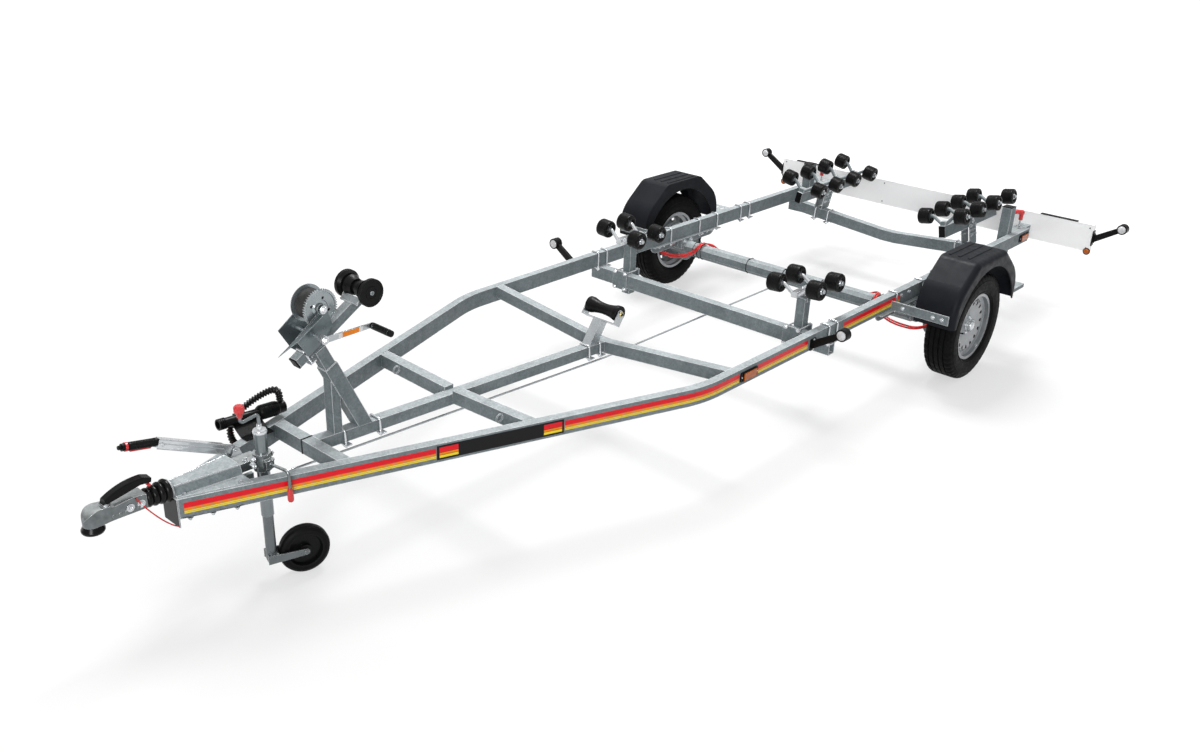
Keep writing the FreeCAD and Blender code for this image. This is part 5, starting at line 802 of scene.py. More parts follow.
def bow_details():
    centre, reach = middle("bow_roller"), box("bow_roller")[1].y
    for way, side in SIDES:
        face = Vector((centre.x, centre.y + (reach - centre.y) * way, centre.z))
        hub = Shape().turned([(0, -9), (19, -9), (18, -3), (0, -3)], frame_at(face, LEFT * way), 28)
        hub.bolt(frame_at(face - LEFT * 3 * way, LEFT * way), 17, 1)
        hub.piece(f"bow_hub_{side}", STEEL, "bow_roller")
    flare = Shape()
    for way in (1, -1):
        at = frame_at(centre, LEFT * way)
        flare.ring([(28, 12), (32.8, 12), (35, 24), (39, 36), (42.5, 43), (42.5, 44.5), (28, 44.5)], at, 48)
        flare.ring([(44, 79.5), (55.2, 79.5), (55.2, 80.6), (53.5, 82), (46, 82)], at, 48)
        flare.ring([(20, 79.5), (28, 79.5), (26.5, 82), (21.5, 82)], at, 48)
    flare.piece("bow_roller_flares", RUBBER, "bow_roller")
    along = Vector((-cos(ARM_TILT), 0, sin(ARM_TILT)))
    over = Vector((sin(ARM_TILT), 0, cos(ARM_TILT)))
    at = frame_at(ARM_END, -along, LEFT)
    Shape().block((0, 0, 3.6), (40, 40, 7), at).block((0, 0, -3), (33, 33, 8), at).piece("arm_end_plug", BLACK_PLASTIC)
    loop = Shape().u_bolt(frame_at(ARM_END + along * 42 + over * 20.2, over, LEFT), 40, 41)
    loop.piece("arm_clamp", STEEL)


def keel_details():
    centre, reach = middle("keel_roller"), box("keel_roller")[1].y
    for way, side in SIDES:
        at = frame_at(centre + LEFT * (reach - centre.y) * way, LEFT * way)
        washer = Shape().turned([(11, 0), (20, 0), (19, 1.5), (11, 1.5)], at, 28)
        washer.piece(f"keel_washer_{side}", ZINC, "keel_roller")
    nuts = Shape()
    low, high = box("keel_post")
    for way, y in ((1, high.y), (-1, low.y)):
        nuts.bolt(frame_at((centre.x, y - 6 * way, centre.z), LEFT * way), 17, 4)
    nuts.piece("keel_nuts", YELLOW_ZINC)


# Hull rollers: ribbed rubber with a spoked hub in each dished end, on rods with washers and nuts

ROLLER_OFFSET, ROLLER_HALF, ROLLER_RADIUS, ROLLER_DISH, ROLLER_RIBS = 113, 35, 48, 12, 9
ROD_RADIUS, ROD_END, SPOKES = 10, 160, 6


def roller_section():
    """Closed section of one hull roller about its rod."""
    half, radius, dish = ROLLER_HALF, ROLLER_RADIUS, ROLLER_DISH
    low = [(ROD_RADIUS + 0.05, dish - half), (radius * 0.55, dish - half), (radius * 0.69, 1.5 - half),
           (radius * 0.73, -half), (radius * 0.89, -half), (radius * 0.945, 1.5 - half), (radius * 0.975, -half * 0.84)]
    ribs, step = [], 1.6 * half / ROLLER_RIBS
    for start in (step * i - half * 0.8 for i in range(ROLLER_RIBS)):
        ribs += [(radius, start + step * 0.12), (radius, start + step * 0.76), (radius * 0.98, start + step * 0.88)]
    return low + ribs + [(r, -z) for r, z in reversed(low)]


def roller_pieces(body):
    centre, axis = joint_place(f"{body}_spin"), joint_axis(f"{body}_spin")
    tread, hubs, washers, nuts = Shape(), Shape(), Shape(), Shape()
    bore, hole = ROD_RADIUS + 0.3, ROD_RADIUS + 0.2
    for way in (1, -1):
        spot = centre + axis * ROLLER_OFFSET * way
        tread.ring(roller_section(), frame_at(spot, axis), 40)
        for face in (1, -1):
            at = frame_at(spot + axis * (ROLLER_HALF - ROLLER_DISH) * face, axis * face)
            hubs.ring([(bore, -1), (17, -1), (16, 8), (bore, 9)], at, 24)
            for turn in around(SPOKES):
                hubs.box((15, -1.8, -1), (30, 1.8, 6), at @ Matrix.Rotation(turn, 4, "Z"))
        washers.ring([(hole, -3), (16, -3), (16, -1.4), (hole, -1.4)],
                     frame_at(spot + axis * ROLLER_HALF * way, axis * way), 24)
        at = frame_at(centre + axis * (ROD_END - 9) * way, axis * way)
        nuts.turned([(12, 0), (12, 6.5), (10.5, 8)], at, 6)
        nuts.turned([(8, 8), (8, 9.4), (7, 10.2)], at, 16)
    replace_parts(tread.piece(f"{body}_tread", ROLLER_RUBBER, body, "black_rubber"), body)
    hubs.piece(f"{body}_hubs", HUB_PLASTIC, body)
    washers.piece(f"{body}_washers", STEEL, body)
    nuts.piece(f"{body}_rod_nuts", ZINC, JOINTS[f"{body}_spin"]["parent"])


def hull_rollers():
    for body in frame["bodies"]:
        if "_rollers_" in body:
            roller_pieces(body)


# Rockers and cradles: end caps on the box beams, pin nuts, bolts, plates and U-bolts of their brackets

ROCKER_HALF, ROCKER_TALL, ROCKER_WIDE = 352, 70, 40
BRACKET_FACE, BRACKET_PITCH = 28, 28
REAR_MEMBER_SLOPE, REAR_MEMBER_HALF = 52 / 564, 654


def rocker_details():
    for way, side in SIDES:
        pivot, axis = joint_place(f"rear_rocker_{side}_rock"), joint_axis(f"rear_rocker_{side}_rock")
        over = AHEAD.cross(axis)
        caps, pins, bolts, straps = Shape(), Shape(), Shape(), Shape()
        for end in (1, -1):
            at = frame_at(pivot + AHEAD * ROCKER_HALF * end, AHEAD * end, axis)
            caps.block((0, 0, 1.5), (ROCKER_WIDE * 0.97, ROCKER_TALL * 0.98, 3), at)
            caps.block((0, 0, 3.6), (ROCKER_WIDE * 0.6, ROCKER_TALL * 0.75, 1.4), at)
            face = pivot + axis * BRACKET_FACE * end
            pins.bolt(frame_at(face, axis * end), 19, 6)
            for column in (-1, 1):
                for row in (1, 3):
                    spot = face + AHEAD * BRACKET_PITCH * column - over * BRACKET_PITCH * row
                    bolts.bolt(frame_at(spot, axis * end), 13, 6)
        caps.piece(f"rocker_caps_{side}", BLACK_PLASTIC, f"rear_rocker_{side}")
        pins.piece(f"rocker_pins_{side}", STEEL)
        bolts.piece(f"bracket_bolts_{side}", ZINC)
        for out in (-48, 48):
            y = pivot.y + out * way
            top = BEAM_BOTTOM - (REAR_MEMBER_HALF - abs(y)) * REAR_MEMBER_SLOPE
            straps.u_bolt(frame_at((pivot.x, y, top), (0, -REAR_MEMBER_SLOPE * way, 1), AHEAD), 50, 71)
        straps.piece(f"rear_clamps_{side}", STEEL)


def cradle_details():
    low, high = box("mid_roller_posts")
    for way, side in SIDES:
        pivot, axis = joint_place(f"mid_cradle_{side}_rock"), joint_axis(f"mid_cradle_{side}_rock")
        pins, bolts = Shape(), Shape()
        for end in (1, -1):
            pins.bolt(frame_at(pivot + axis * 25.5 * end, axis * end), 17, 6)
        pins.piece(f"cradle_pins_{side}", STEEL)
        y, post_rear = (FRAME_HALF - 206) * way, pivot.x - 25
        plate = Shape().block((post_rear - 3, y, 368), (6, 100, 104))
        plate.piece(f"mid_back_plate_{side}", GALVANISED)
        for across in (-36, 36):
            for z in (322, 412.5):
                bolts.bolt(frame_at((high.x, y + across, z), AHEAD), 13, 7)
                bolts.bolt(frame_at((post_rear - 6, y + across, z), -AHEAD), 13, 8, 6)
                bolts.tube([(high.x - 1, y + across, z), (post_rear - 5, y + across, z)], 4, 12)
        bolts.piece(f"mid_bolts_{side}", STEEL)
        # A thin dark sheet of painted shade at the post's lowest face, for its open tube end.
        dark = Shape().block((pivot.x, y, low.z - 0.4), (41, 41, 0.8))
        dark.piece(f"post_opening_{side}", DARK)


# Road wheels: treaded tyres, drawn-out slots, wheel nuts, dust caps and valves

TYRE_RADIUS, TYRE_HALF, BEAD_RADIUS, BEAD_HALF = 294, 82.5, 172, 60.7
TREAD_STEPS = 192
WINDOWS, WINDOW_REACH, WINDOW_RADIUS = 16, 138, 11.2
SLOT_NEAR, SLOT_JOIN, SLOT_HALF = 121, 131, 10
WHEEL_NUTS, NUT_REACH, WHEEL_FACE = 5, 44, 30


def tyre_section():
    """Half section from bead to crown: (radius, height, groove) with groove 1 where the tread may be cut."""
    r, w = TYRE_RADIUS, TYRE_HALF
    side = [(BEAD_RADIUS, BEAD_HALF), (182.4, BEAD_HALF), (184, w * 0.80), (188, w * 0.865), (194, w * 0.90),
            (196, w * 0.94), (199, w * 0.945), (201, w * 0.925), (212, w * 0.965), (226, w * 0.992), (240, w),
            (252, w * 0.985), (254, w * 0.998), (257, w * 0.995), (259, w * 0.968), (266, w * 0.945)]
    shoulder = [(270, w * 0.938), (277, w * 0.905), (284, w * 0.86), (289, w * 0.80), (r - 2.2, w * 0.73),
                (r - 1.2, w * 0.64)]
    rows = [(*row, 0) for row in side] + [(*row, 1) for row in shoulder]
    for centre, wide in ((0.50, 0.045), (0.17, 0.05)):
        rows += [(r - 0.9, w * (centre + wide), 1), (r - 7, w * (centre + wide * 0.7), 2),
                 (r - 7, w * (centre - wide * 0.7), 2), (r - 0.5, w * (centre - wide), 1)]
    return rows


def tyre_shape(at):
    """The section turned about the axle, with its tread cut across: deep at the shoulders, shallow between."""
    half = tyre_section()
    rows = []
    for radius, height, groove in half + [(r, -z, g) for r, z, g in reversed(half)]:
        reach = abs(height)
        outer = reach > TYRE_HALF * 0.56
        pitch, shift = (4, 2 if height < 0 else 0) if outer else (6, 3 if reach > TYRE_HALF * 0.23 else 1)
        deep = (5 if outer else 2.5) * (0.35 if reach > TYRE_HALF * 0.9 else 1)
        row = []
        for i, angle in enumerate(around(TREAD_STEPS)):
            cut = groove == 1 and (i + shift) % pitch == 0
            r = radius - (deep if cut else 0)
            row.append((r * cos(angle), r * sin(angle), height * (0.988 if cut and outer else 1)))
        rows.append(row)
    return Shape().loft(rows[::-1], at, closed=True)


def disc_height(radius):
    """How far the wheel disc's face stands out from the wheel's middle, at a radius."""
    return min(20.3 + 0.1716 * radius, 43.4 - 0.59 * (radius - 132))


def wheel_slots(centre, axis):
    """The disc's round holes drawn out towards the hub into slots: dark patches of painted shade where the slots open,
    and a lip round each slot.
    """
    windows, lips = Shape(), Shape()
    half_turn = [pi * j / 10 for j in range(11)]
    inner = [(SLOT_NEAR - SLOT_HALF * sin(a), SLOT_HALF * cos(a)) for a in half_turn]
    outer = [(WINDOW_REACH + WINDOW_RADIUS * sin(a), -WINDOW_RADIUS * cos(a)) for a in half_turn]
    patch = [(SLOT_JOIN, SLOT_HALF * 0.94), *inner, (SLOT_JOIN, -SLOT_HALF * 0.94)]

    def lay(outline, out, lift=0):
        return [centre + out * r + axis.cross(out) * t + axis * (disc_height(r) + lift) for r, t in outline]

    for turn in around(WINDOWS):
        out = AHEAD * cos(turn) + UP * sin(turn)
        windows.loft([lay(patch, out, -0.5), lay(patch, out, 0.5)])
        lips.tube(lay(inner + outer, out), 1.2, 8, closed=True)
    return windows, lips


def wheel_details():
    for way, side in SIDES:
        centre, axis, body = joint_place(f"wheel_{side}_spin"), LEFT * way, f"wheel_{side}"
        tyre = tyre_shape(frame_at(centre, axis)).piece(f"road_tyre_{side}", TYRE_RUBBER, body, "tyre_rubber", 30)
        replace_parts(tyre, f"tyre_{side}")
        face = centre + axis * WHEEL_FACE
        nuts = Shape()
        for turn in (2 * pi * (k + 0.25) / WHEEL_NUTS for k in range(WHEEL_NUTS)):
            at = frame_at(face + (AHEAD * cos(turn) + UP * sin(turn)) * NUT_REACH, axis)
            nuts.turned([(11, -1), (11, 9), (9.4, 11.5)], at, 6)
            nuts.turned([(6, 11), (6, 15), (5, 16)], at, 16)
        nuts.piece(f"wheel_nuts_{side}", ZINC, body)
        windows, lips = wheel_slots(centre, axis)
        windows.piece(f"wheel_windows_{side}", DARK, body)
        lips.piece(f"wheel_window_lips_{side}", SILVER, body)
        cap = Shape().ring([(18, -1), (31, -1), (31, 3), (27, 5), (26.5, 22), (25, 27), (21, 30.5), (12, 32.5),
                            (0.2, 33), (0.2, 30), (18, 28.5)], frame_at(face, axis), 36)
        cap.piece(f"dust_cap_{side}", STEEL, body)
        valve = Shape().turned([(5, -6), (5, 4), (3.4, 8), (3.4, 24), (4.4, 25), (4.4, 33), (3.6, 34)],
                               frame_at(centre + AHEAD * 146 + axis * 40, axis * 0.9 - AHEAD * 0.35), 16)
        valve.piece(f"valve_{side}", RUBBER, body)


# Mudguards: rolled lip round each wheel arch, and fixing bolts

GUARD_OUT, GUARD_HALF, ARCH_RADIUS, ARCH_FOOT = 241, 106.5, 347, asin(91 / 345)
BEAM_BOLT_STATIONS = (-1180, -1260, -1654, -1734)
STAY_BOLT_RUN, STAY_BOLTS, STAY_BOLT_HEIGHT = 374.3, (840, 1010, 1060), 430


def guard_details():
    for way, side in SIDES:
        lips, bolts = Shape(), Shape()
        for y in (FRAME_HALF + GUARD_OUT + GUARD_HALF, FRAME_HALF + GUARD_OUT - GUARD_HALF):
            turns = [ARCH_FOOT + (pi - 2 * ARCH_FOOT) * k / 48 for k in range(49)]
            lips.tube([(AXLE.x + ARCH_RADIUS * cos(a), y * way, TYRE_RADIUS + ARCH_RADIUS * sin(a))
                       for a in turns], 3.4, 10)
        lips.piece(f"arch_lip_{side}", GUARD)
        for x in BEAM_BOLT_STATIONS:
            bolts.bolt(frame_at((x, (FRAME_HALF + 0.5) * way, BEAM_TOP - 22), LEFT * way))
        for y in STAY_BOLTS:
            bolts.bolt(frame_at((AXLE.x + STAY_BOLT_RUN, y * way, STAY_BOLT_HEIGHT), AHEAD))
        bolts.piece(f"guard_bolts_{side}", ZINC)


# Lamps, markers and the tail board

SIDE_LAMP, SIDE_LAMP_FOOT, REAR_LAMP = (-316, 932.3, 530), (-316, 774.3, 435), (-2937.5, 1274.3, 566)
MARKER_PLACES = (215, -2733)
BOARD_X, BOARD_FRONT, BOARD_REAR, BOARD_MIDDLE, BOARD_END = -2937.5, -2925, -2950, 471, 1114
POST_X, POST_Y, CLAMP_X, CLAMP_Y = -2603, 703.7, -2790, 714


def lamp_details():
    white, red, rings, bolts = Shape(), Shape(), Shape(), Shape()
    for way in (1, -1):
        for x, y, z in (SIDE_LAMP, REAR_LAMP):
            front, back = (frame_at((x + 20 * end, y * way, z), AHEAD * end) for end in (1, -1))
            white.turned([(24, -3), (24, 1.5), (21, 5.5), (14, 8.5), (6, 10), (0.5, 10.3)], front, 36)
            red.turned([(24, -3), (24, 0.6), (20, 1.3), (0.5, 1.9)], back, 36)
            rings.ring([(24.4, -4), (29.4, -4), (29.4, 2.6), (27.5, 4.4), (25, 4), (24.4, 2)], front, 40)
            rings.ring([(24.4, -4), (29.4, -4), (29.4, 1.1), (27.5, 1.9), (24.4, 1.6)], back, 40)
        x, y, z = SIDE_LAMP_FOOT
        for height in (z - 21, z + 22):
            bolts.bolt(frame_at((x, (y + 7) * way, height), LEFT * way), 9, 4)
    white.piece("lamp_fronts", CLEAR_LENS, slot="white_panel")
    red.piece("lamp_backs", RED_LENS, slot="red_plastic")
    rings.piece("lamp_rings", RUBBER, slot="black_rubber")
    bolts.piece("stalk_bolts", ZINC)


def marker_details():
    for way, side in SIDES:
        holders, screws = Shape(), Shape()
        for x in MARKER_PLACES:
            at = frame_at((x, (FRAME_HALF + 0.3) * way, BEAM_TOP - 40), LEFT * way, AHEAD)
            holders.rounded((0, 0, 0), (130, 46, 6), 8, at)
            holders.rounded((0, 0, 0), (102, 42, 9), 6, at)
            for end in (-57, 57):
                screws.turned([(4, 5), (4, 7.6), (2.6, 8.4)], at @ Matrix.Translation((end, 0, 0)), 16)
        holders.piece(f"marker_holders_{side}", BLACK_PLASTIC)
        screws.piece(f"marker_screws_{side}", STEEL)


def board_back():
    """Tail lamps, triangles, plate and screws; they are hidden in the photograph and guessed."""
    frames, lamps, ambers, triangles, screws = Shape(), Shape(), Shape(), Shape(), Shape()
    at = frame_at((BOARD_REAR, 0, 0), -AHEAD, -LEFT)
    for way in (1, -1):
        frames.rounded((900 * way, BOARD_MIDDLE, 0), (300, 120, 5), 14, at)
        lamps.rounded((858 * way, BOARD_MIDDLE, 4), (192, 100, 5), 9, at)
        ambers.rounded((1000 * way, BOARD_MIDDLE, 4), (82, 100, 5), 9, at)
        corners = [radians(a) for a in (90, 210, 330)]
        triangles.prism([(610 * way + 66 * cos(a), 466 + 66 * sin(a)) for a in corners], 0, 5, at)
    frames.piece("tail_lamp_bodies", BLACK_PLASTIC)
    lamps.piece("tail_lamp_lenses", RED_LENS)
    ambers.piece("turn_lamp_lenses", ORANGE_LENS)
    triangles.piece("tail_reflectors", RED_LENS)
    Shape().rounded((0, BOARD_MIDDLE, 0), (520, 112, 2), 8, at).piece("blank_plate", WHITE_PAINT)
    for y in (-1092, -300, 300, 1092):
        for z in (408, 534):
            screws.turned([(5, -0.5), (5, 1.2), (3, 2.4)], frame_at((BOARD_FRONT, y, z), AHEAD), 16)
    screws.piece("board_screws", DARK_STEEL)


def board_details():
    pads, edges = Shape(), Shape()
    for way in (1, -1):
        pads.rounded((0, 0, 0), (231, 25, 6), 3, frame_at((BOARD_X, 895 * way, 554), UP, LEFT))
    pads.piece("board_pads", RUBBER)
    for z in (388, 554):
        edges.block((BOARD_X, 0, z), (26.4, 2228, 1.6))
    edges.piece("board_edges", BOARD)
    board_back()
    brackets, ambers, rings = Shape(), Shape(), Shape()
    for way in (1, -1):
        brackets.rounded((BOARD_X, -474 * way, 0), (34, 96, 5), 5,
                         frame_at((0, BOARD_END * way, 0), LEFT * way, AHEAD))
        at = frame_at((BOARD_X + 13.5, (BOARD_END - 14) * way, 388), AHEAD)
        rings.ring([(17, -3), (21.5, -3), (21.5, 3), (17, 4)], at, 32)
        rings.block((0, 0, -4), (30, 30, 3), at)
        ambers.turned([(17.2, -2), (17.2, 4), (14, 7), (0.5, 8.5)], at, 32)
    brackets.piece("board_end_brackets", BLACK_PLASTIC)
    rings.piece("board_reflector_rings", RUBBER)
    ambers.piece("board_reflectors", ORANGE_LENS)
    caps, nuts, screws, handles = Shape(), Shape(), Shape(), Shape()
    top = box("board_arms")[1].z
    for way in (1, -1):
        y = POST_Y * way
        caps.block((POST_X, y, top + 2), (62, 62, 4))
        caps.block((POST_X, y, top + 4.6), (50, 50, 1.4))
        nuts.bolt(frame_at((POST_X, y - 30 * way, 560), -LEFT * way), 17, 9)
        x, y, at = CLAMP_X, CLAMP_Y * way, frame_at((CLAMP_X, CLAMP_Y * way, BEAM_TOP))
        screws.turned([(6, 0), (6, 50)], at, 16)
        screws.turned([(11, 0), (11, 9)], at, 6)
        handles.turned([(10, 0), (13, 3), (13.5, 34), (17, 42), (17, 56), (12, 62), (0.5, 63)],
                       frame_at((x, y, BEAM_TOP + 44)), 24)
        handles.tube([(x + ahead, y - inward * way, BEAM_TOP + height)
                      for ahead, inward, height in ((0, 0, 94), (24, 16, 98), (44, 30, 96), (52, 36, 90))],
                     [14, 13, 11, 7], 16)
    caps.piece("post_caps", BLACK_PLASTIC)
    nuts.piece("post_nuts", ZINC)
    screws.piece("board_clamp_screws", ZINC)
    handles.piece("board_clamp_handles", RED_PLASTIC)


# Axle: cable ties, bolts of the channels and arms, slots of the channels and drum rims

TUBE_X, TUBE_Z, TUBE_HALF = AXLE.x + 175, 340, 40
TIES = (-640, -612, -585, -250, 0, 250, 585, 612, 640)
TIE_CORNERS = ((1, -0.5), (1, 0.5), (0.5, 1), (-0.5, 1), (-1, 0.5), (-1, -0.5), (-0.5, -1), (0.5, -1))
CABLES_CROSS = 250
DRUM_RIM = ((112, -6), (117.5, -6), (118.5, -3), (118.5, 3), (117.5, 6), (112, 6))


def axle_details():
    ties = Shape()
    for y in TIES:
        over_cables = abs(y) > CABLES_CROSS
        route = []
        for x, z in TIE_CORNERS:
            rise = TUBE_HALF + (11 if over_cables and z > 0.4 else 1.6)
            reach = TUBE_HALF + 13 if x < 0 and not over_cables else rise
            route.append((TUBE_X + x * reach, y, TUBE_Z + z * rise))
        ties.tube(route, 1.9, 8, closed=True)
        ties.block((TUBE_X + TUBE_HALF * 0.2, y, TUBE_Z + TUBE_HALF + (13 if over_cables else 3)), (7, 7, 5))
    ties.piece("axle_ties", BLACK_PLASTIC)
    for way, side in SIDES:
        bolts, slots = Shape(), Shape()
        web_y = (FRAME_HALF - BEAM_WIDTH / 2) * way
        for x in (-262, -214, 214, 262):
            for y in (-20, 20):
                bolts.bolt(frame_at((TUBE_X + x, web_y + y * way, BEAM_BOTTOM - 5.3), -UP), 15, 8, 4)
        for x in (-30, 30):
            for out in (1, -1):
                y = (FRAME_HALF - 17) * way + out * 37
                bolts.bolt(frame_at((TUBE_X + x, y, 384), LEFT * out), 17, 9, 3)
        bolts.piece(f"axle_bolts_{side}", ZINC)
        # Slots in the channel webs, drawn as thin dark plates of painted shade.
        for x in (-230, -170, -110, 110, 170, 230):
            at = frame_at((TUBE_X + x, web_y + 2.7 * way, BEAM_BOTTOM - 20), LEFT * way)
            slots.rounded((0, 0, 0), (30, 11, 0.5), 5, at)
        slots.piece(f"channel_slots_{side}", DARK)
        rim = Shape().ring(DRUM_RIM, frame_at((AXLE.x, 948 * way, TYRE_RADIUS), LEFT * way), 48)
        rim.piece(f"drum_rim_{side}", CAST)


# Cables: two red brake cables, the breakaway cable and the ribbed conduit of the plug

BRAKE_CABLE_HALVES = (
    ((-1345.5, -905, 300), (-1200, -905, 302), (-1185, -795, 300), (-1195, -700, 310), (-1222, -640, 338),
     (-1230, -606, 380), (-1262, -603, 396), (-1305, -596, 391), (-1332, -566, 372), (-1328, -510, 345),
     (-1327.4, -440, 338)),
    ((-1345.5, -905, 288), (-1200, -893, 290), (-1185, -787, 288), (-1195, -697, 298), (-1222, -629, 330),
     (-1230, -593, 378), (-1262, -591, 396), (-1305, -584, 391), (-1332, -556, 382), (-1328, -503, 356),
     (-1327.4, -440, 350)),
)
BREAKAWAY_POINTS = ((2762, 32.3, 538), (2752, 38, 516), (2702, 46, 444), (2652, 49, 390), (2633, 47, 379))
CONDUIT_POINTS = (
    (1997, -250, 555.8), (1995, -250, 588), (2016, -253, 610), (2070, -261, 600), (2135, -275, 570),
    (2188, -289, 528), (2215, -282, 480), (2228.4, -228, 445), (2216.6, -193.9, 445),
)
CONDUIT_RADIUS, CONDUIT_PITCH, CONDUIT_RIB = 15, 12, (2.2, 0, 2.2, 6.2)
BRAKE_CABLE_RADIUS, BREAKAWAY_RADIUS = 5, 2.5


def nurbs_curve(name, points, radius=0.0):
    curve = bpy.data.curves.new(name, "CURVE")
    curve.dimensions = "3D"
    curve.resolution_u = 16
    spline = curve.splines.new("NURBS")
    spline.points.add(len(points) - 1)
    for spot, place in zip(spline.points, points):
        spot.co = (*[c * MM for c in place], 1)
    spline.order_u = 3
    spline.use_endpoint_u = True
    curve.bevel_depth = radius * MM
    curve.bevel_resolution = 4
    curve.use_fill_caps = True
    return link(name, curve)


def curve_line(points):
    """The route's spline as points in metres, for pieces that follow it."""
    item = nurbs_curve("route", points)
    mesh = bpy.data.meshes.new_from_object(item)
    line = [v.co.copy() for v in mesh.vertices]
    bpy.data.meshes.remove(mesh)
    bpy.data.objects.remove(item)
    return line


def evenly(line, pitch):
    """Points along a line at an even pitch."""
    spots, left = [line[0]], pitch
    for start, end in zip(line, line[1:]):
        run = (end - start).length
        while run > 0 and left <= run:
            spots.append(start + (end - start) * left / run)
            left += pitch
        left -= run
    return spots + [line[-1]]


def length_of(line):
    return sum((b - a).length for a, b in zip(line, line[1:]))


def cable(name, points, radius, material):
    item = nurbs_curve(name, points, radius)
    item.data.materials.append(material)
    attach(item, "frame")
    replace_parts(item, "cables")
    return item


def cables():
    for number, half in enumerate(BRAKE_CABLE_HALVES, start=1):
        whole = list(half) + [(x, -y, z) for x, y, z in reversed(half)]
        cable(f"brake_cable_{number}", whole, BRAKE_CABLE_RADIUS, RED_CABLE)
    lanyard = cable("breakaway_cable", BREAKAWAY_POINTS, BREAKAWAY_RADIUS, LANYARD)
    line = curve_line(BREAKAWAY_POINTS)
    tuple(line[0])
    length_of(line)
    line = curve_line(CONDUIT_POINTS)
    spots = evenly(line, CONDUIT_PITCH / 4 * MM)
    radii = [CONDUIT_RADIUS - CONDUIT_RIB[i % 4] for i in range(len(spots))]
    hose = Shape().tube([spot / MM for spot in spots], radii, 20)
    hose = hose.piece("plug_conduit", CONDUIT, slot="black_plastic", soft_angle=60)
    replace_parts(hose, "cables")
    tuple(line[-1])
    length_of(line)


PLUG_MOUTH, PLUG_TILT = Vector((NOSE_X - 348, -250, 542)), radians(3.5)


def plug_details():
    """Ribs at the holder's mouth and on the plug's grip."""
    along = Vector((cos(PLUG_TILT), 0, sin(PLUG_TILT)))
    ribs, grip = Shape(), Shape()
    for shift in (-3, -11, -19, -27):
        ribs.ring([(19.5, -2.4), (22.8, -2.4), (22.8, 2.4), (19.5, 2.4)],
                  frame_at(PLUG_MOUTH + along * shift, along), 32)
    ribs.piece("plug_mouth_ribs", BLACK_PLASTIC)
    for k in range(7):
        grip.ring([(28.2, -3), (30.4, -2), (30.4, 2), (28.2, 3)],
                  frame_at(PLUG_MOUTH - along * (192 + 9.5 * k), along), 32)
    grip.piece("plug_grip_ribs", BLACK_PLASTIC)


# Coats of the carried-over nodes

COATS = (
    (GALVANISED, "side_beam_left", "side_beam_right", "spine_beam", "front_cross_member", "mid_cross_member",
     "keel_cross_member", "rear_cross_member", "bunk_cross_beam", "drawbar_cover", "axle_beam", "winch_post",
     "bow_arm", "mid_roller_posts", "rear_rocker_left", "rear_rocker_right", "rear_roller_brackets",
     "mudguard_stays", "board_arms", "overrun_housing"),
    (STEEL, "mid_cradle_left", "mid_cradle_right"),
    (GEAR_ZINC, "winch_drum"),
    (TUBE_ZINC, "jockey_tube"),
    (ZINC, "handbrake_lever", "handbrake_bracket", "winch_crank", "brake_rod", "keel_post"),
    (DARK_STEEL, "jockey_fork"),
    (WINCH_PLATE, "winch_frame"),
    (CAST, "coupling_head", "jockey_clamp"),
    (SILVER, "rim_left", "rim_right"),
    (RUBBER, "bow_roller", "keel_roller", "stalk_lamps"),
    (BELLOWS_RUBBER, "coupling_rubbers"),
    (BLACK_PLASTIC, "coupling_handle", "plug_holder"),
    (GUARD, "mudguards"),
    (RED_PLASTIC, "red_grips"),
    (BOARD, "light_board"),
    (ORANGE_LENS, "side_markers"),
    (WHEEL_RUBBER, "jockey_wheel"),
)


def coat_nodes():
    for material, *names in COATS:
        for name in names:
            slots = NODES[name].material_slots
            if not slots:
                NODES[name].data.materials.append(material)
            for slot in slots:
                slot.material = material


# Floor, world and lamps: a pale studio whose floor shows white and keeps a soft shadow

def seen_rays(tree):
    """The light path, 1 for camera and transmission rays, and 1 for these and glossy rays."""
    path = add_node(tree, "ShaderNodeLightPath").outputs
    clear = arithmetic(tree, "ADD", path["Is Camera Ray"], path["Is Transmission Ray"])
    return path, clear, arithmetic(tree, "ADD", clear, path["Is Glossy Ray"])


def empty_tree(owner):
    owner.use_nodes = True
    owner.node_tree.nodes.clear()
    return owner.node_tree


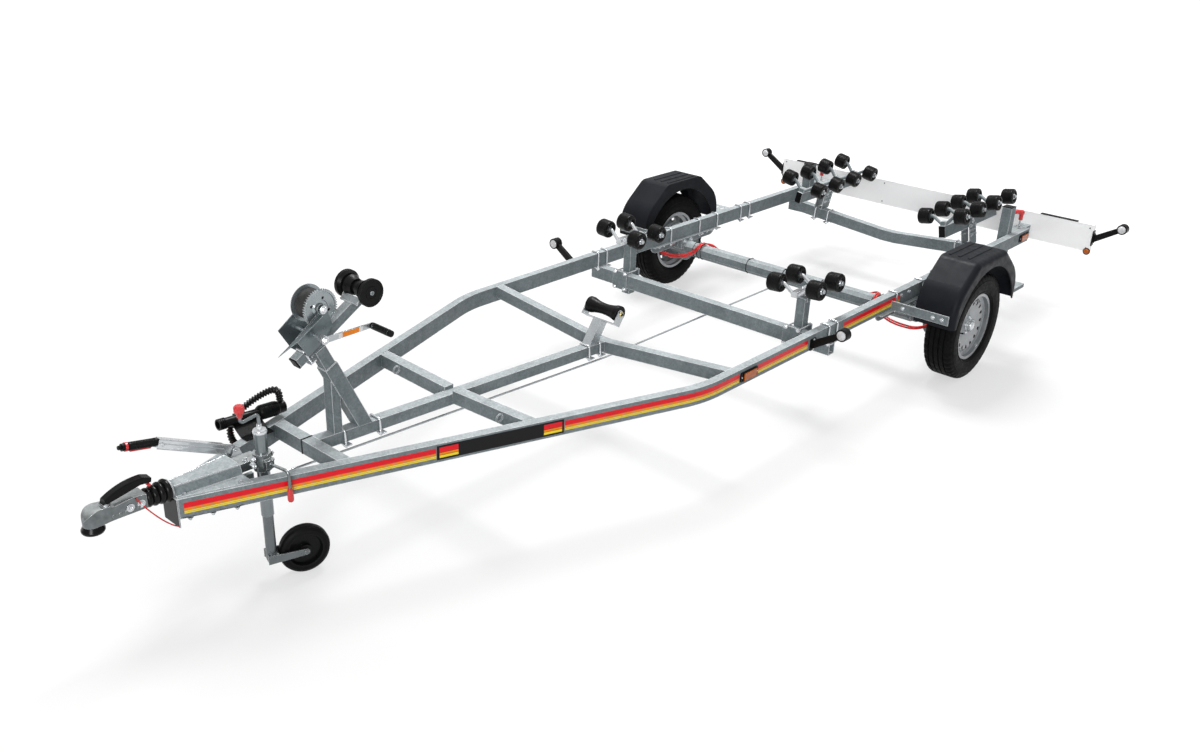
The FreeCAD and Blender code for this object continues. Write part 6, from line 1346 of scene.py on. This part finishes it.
def floor():
    mesh = bpy.data.meshes.new("floor")
    half = 30.0
    mesh.from_pydata([(-half, -half, 0), (half, -half, 0), (half, half, 0), (-half, half, 0)], [], [(0, 1, 2, 3)])
    material = bpy.data.materials.new("floor")
    tree = empty_tree(material)
    plain = add_node(tree, "ShaderNodeBsdfDiffuse", {"Color": (0.42, 0.42, 0.42, 1)}).outputs[0]
    shown = add_node(tree, "ShaderNodeBsdfDiffuse", {"Color": (0.36, 0.36, 0.36, 1)}).outputs[0]
    coords = add_node(tree, "ShaderNodeTexCoord").outputs["Object"]
    away = add_node(tree, "ShaderNodeVectorMath", {0: coords}, operation="LENGTH").outputs["Value"]
    white = ramp(tree, arithmetic(tree, "DIVIDE", away, 10.0), [(0.25, 0.57), (0.7, 1.0)])
    glow = add_node(tree, "ShaderNodeEmission", {"Color": white, "Strength": 1.0}).outputs[0]
    shown = add_node(tree, "ShaderNodeAddShader", {0: shown, 1: glow}).outputs[0]
    choice = add_node(tree, "ShaderNodeMixShader", {0: seen_rays(tree)[2], 1: plain, 2: shown}).outputs[0]
    add_node(tree, "ShaderNodeOutputMaterial", {0: choice})
    mesh.materials.append(material)
    link("floor", mesh)


def studio_world():
    world = bpy.data.worlds.new("studio")
    bpy.context.scene.world = world
    tree = empty_tree(world)
    path, clear, _ = seen_rays(tree)
    height = upward(tree, add_node(tree, "ShaderNodeTexCoord").outputs["Generated"])
    sky = ramp(tree, height, [(0.0, 0.14), (0.25, 0.24), (1.0, 0.80)])
    mirrored_sky = ramp(tree, height, [(0.0, 0.32), (0.3, 0.55), (0.75, 1.0)])
    unseen = mix_colour(tree, path["Is Glossy Ray"], sky, mirrored_sky)
    shown = mix_colour(tree, clear, unseen, WHITE)
    background = add_node(tree, "ShaderNodeBackground", {"Color": shown, "Strength": 1.0}).outputs[0]
    add_node(tree, "ShaderNodeOutputWorld", {0: background})


def lamp(name, spot, aim, size, power):
    data = bpy.data.lights.new(name, "AREA")
    data.shape = "SQUARE"
    data.size = size
    data.energy = power
    link(name, data).matrix_world = frame_at(spot, Vector(spot) - Vector(aim))


for make in (make_camera, stripes, beam_clamps, spine_clamps, cover_details, front_band, coupling_details,
             jockey_details, handbrake_details, winch_details, bow_details, keel_details, hull_rollers,
             rocker_details, cradle_details, wheel_details, jockey_rim, guard_details, lamp_details, marker_details,
             board_details, axle_details, cables, plug_details, coat_nodes, floor, studio_world):
    make()
lamp("key", (-2.4, -2.2, 7.0), (0, 0, 0), 2.8, 480)
lamp("front_fill", (12.0, 9.0, 5.5), (0, 0, 0.4), 5.0, 1100)
bpy.context.scene.view_settings.view_transform = "Standard"
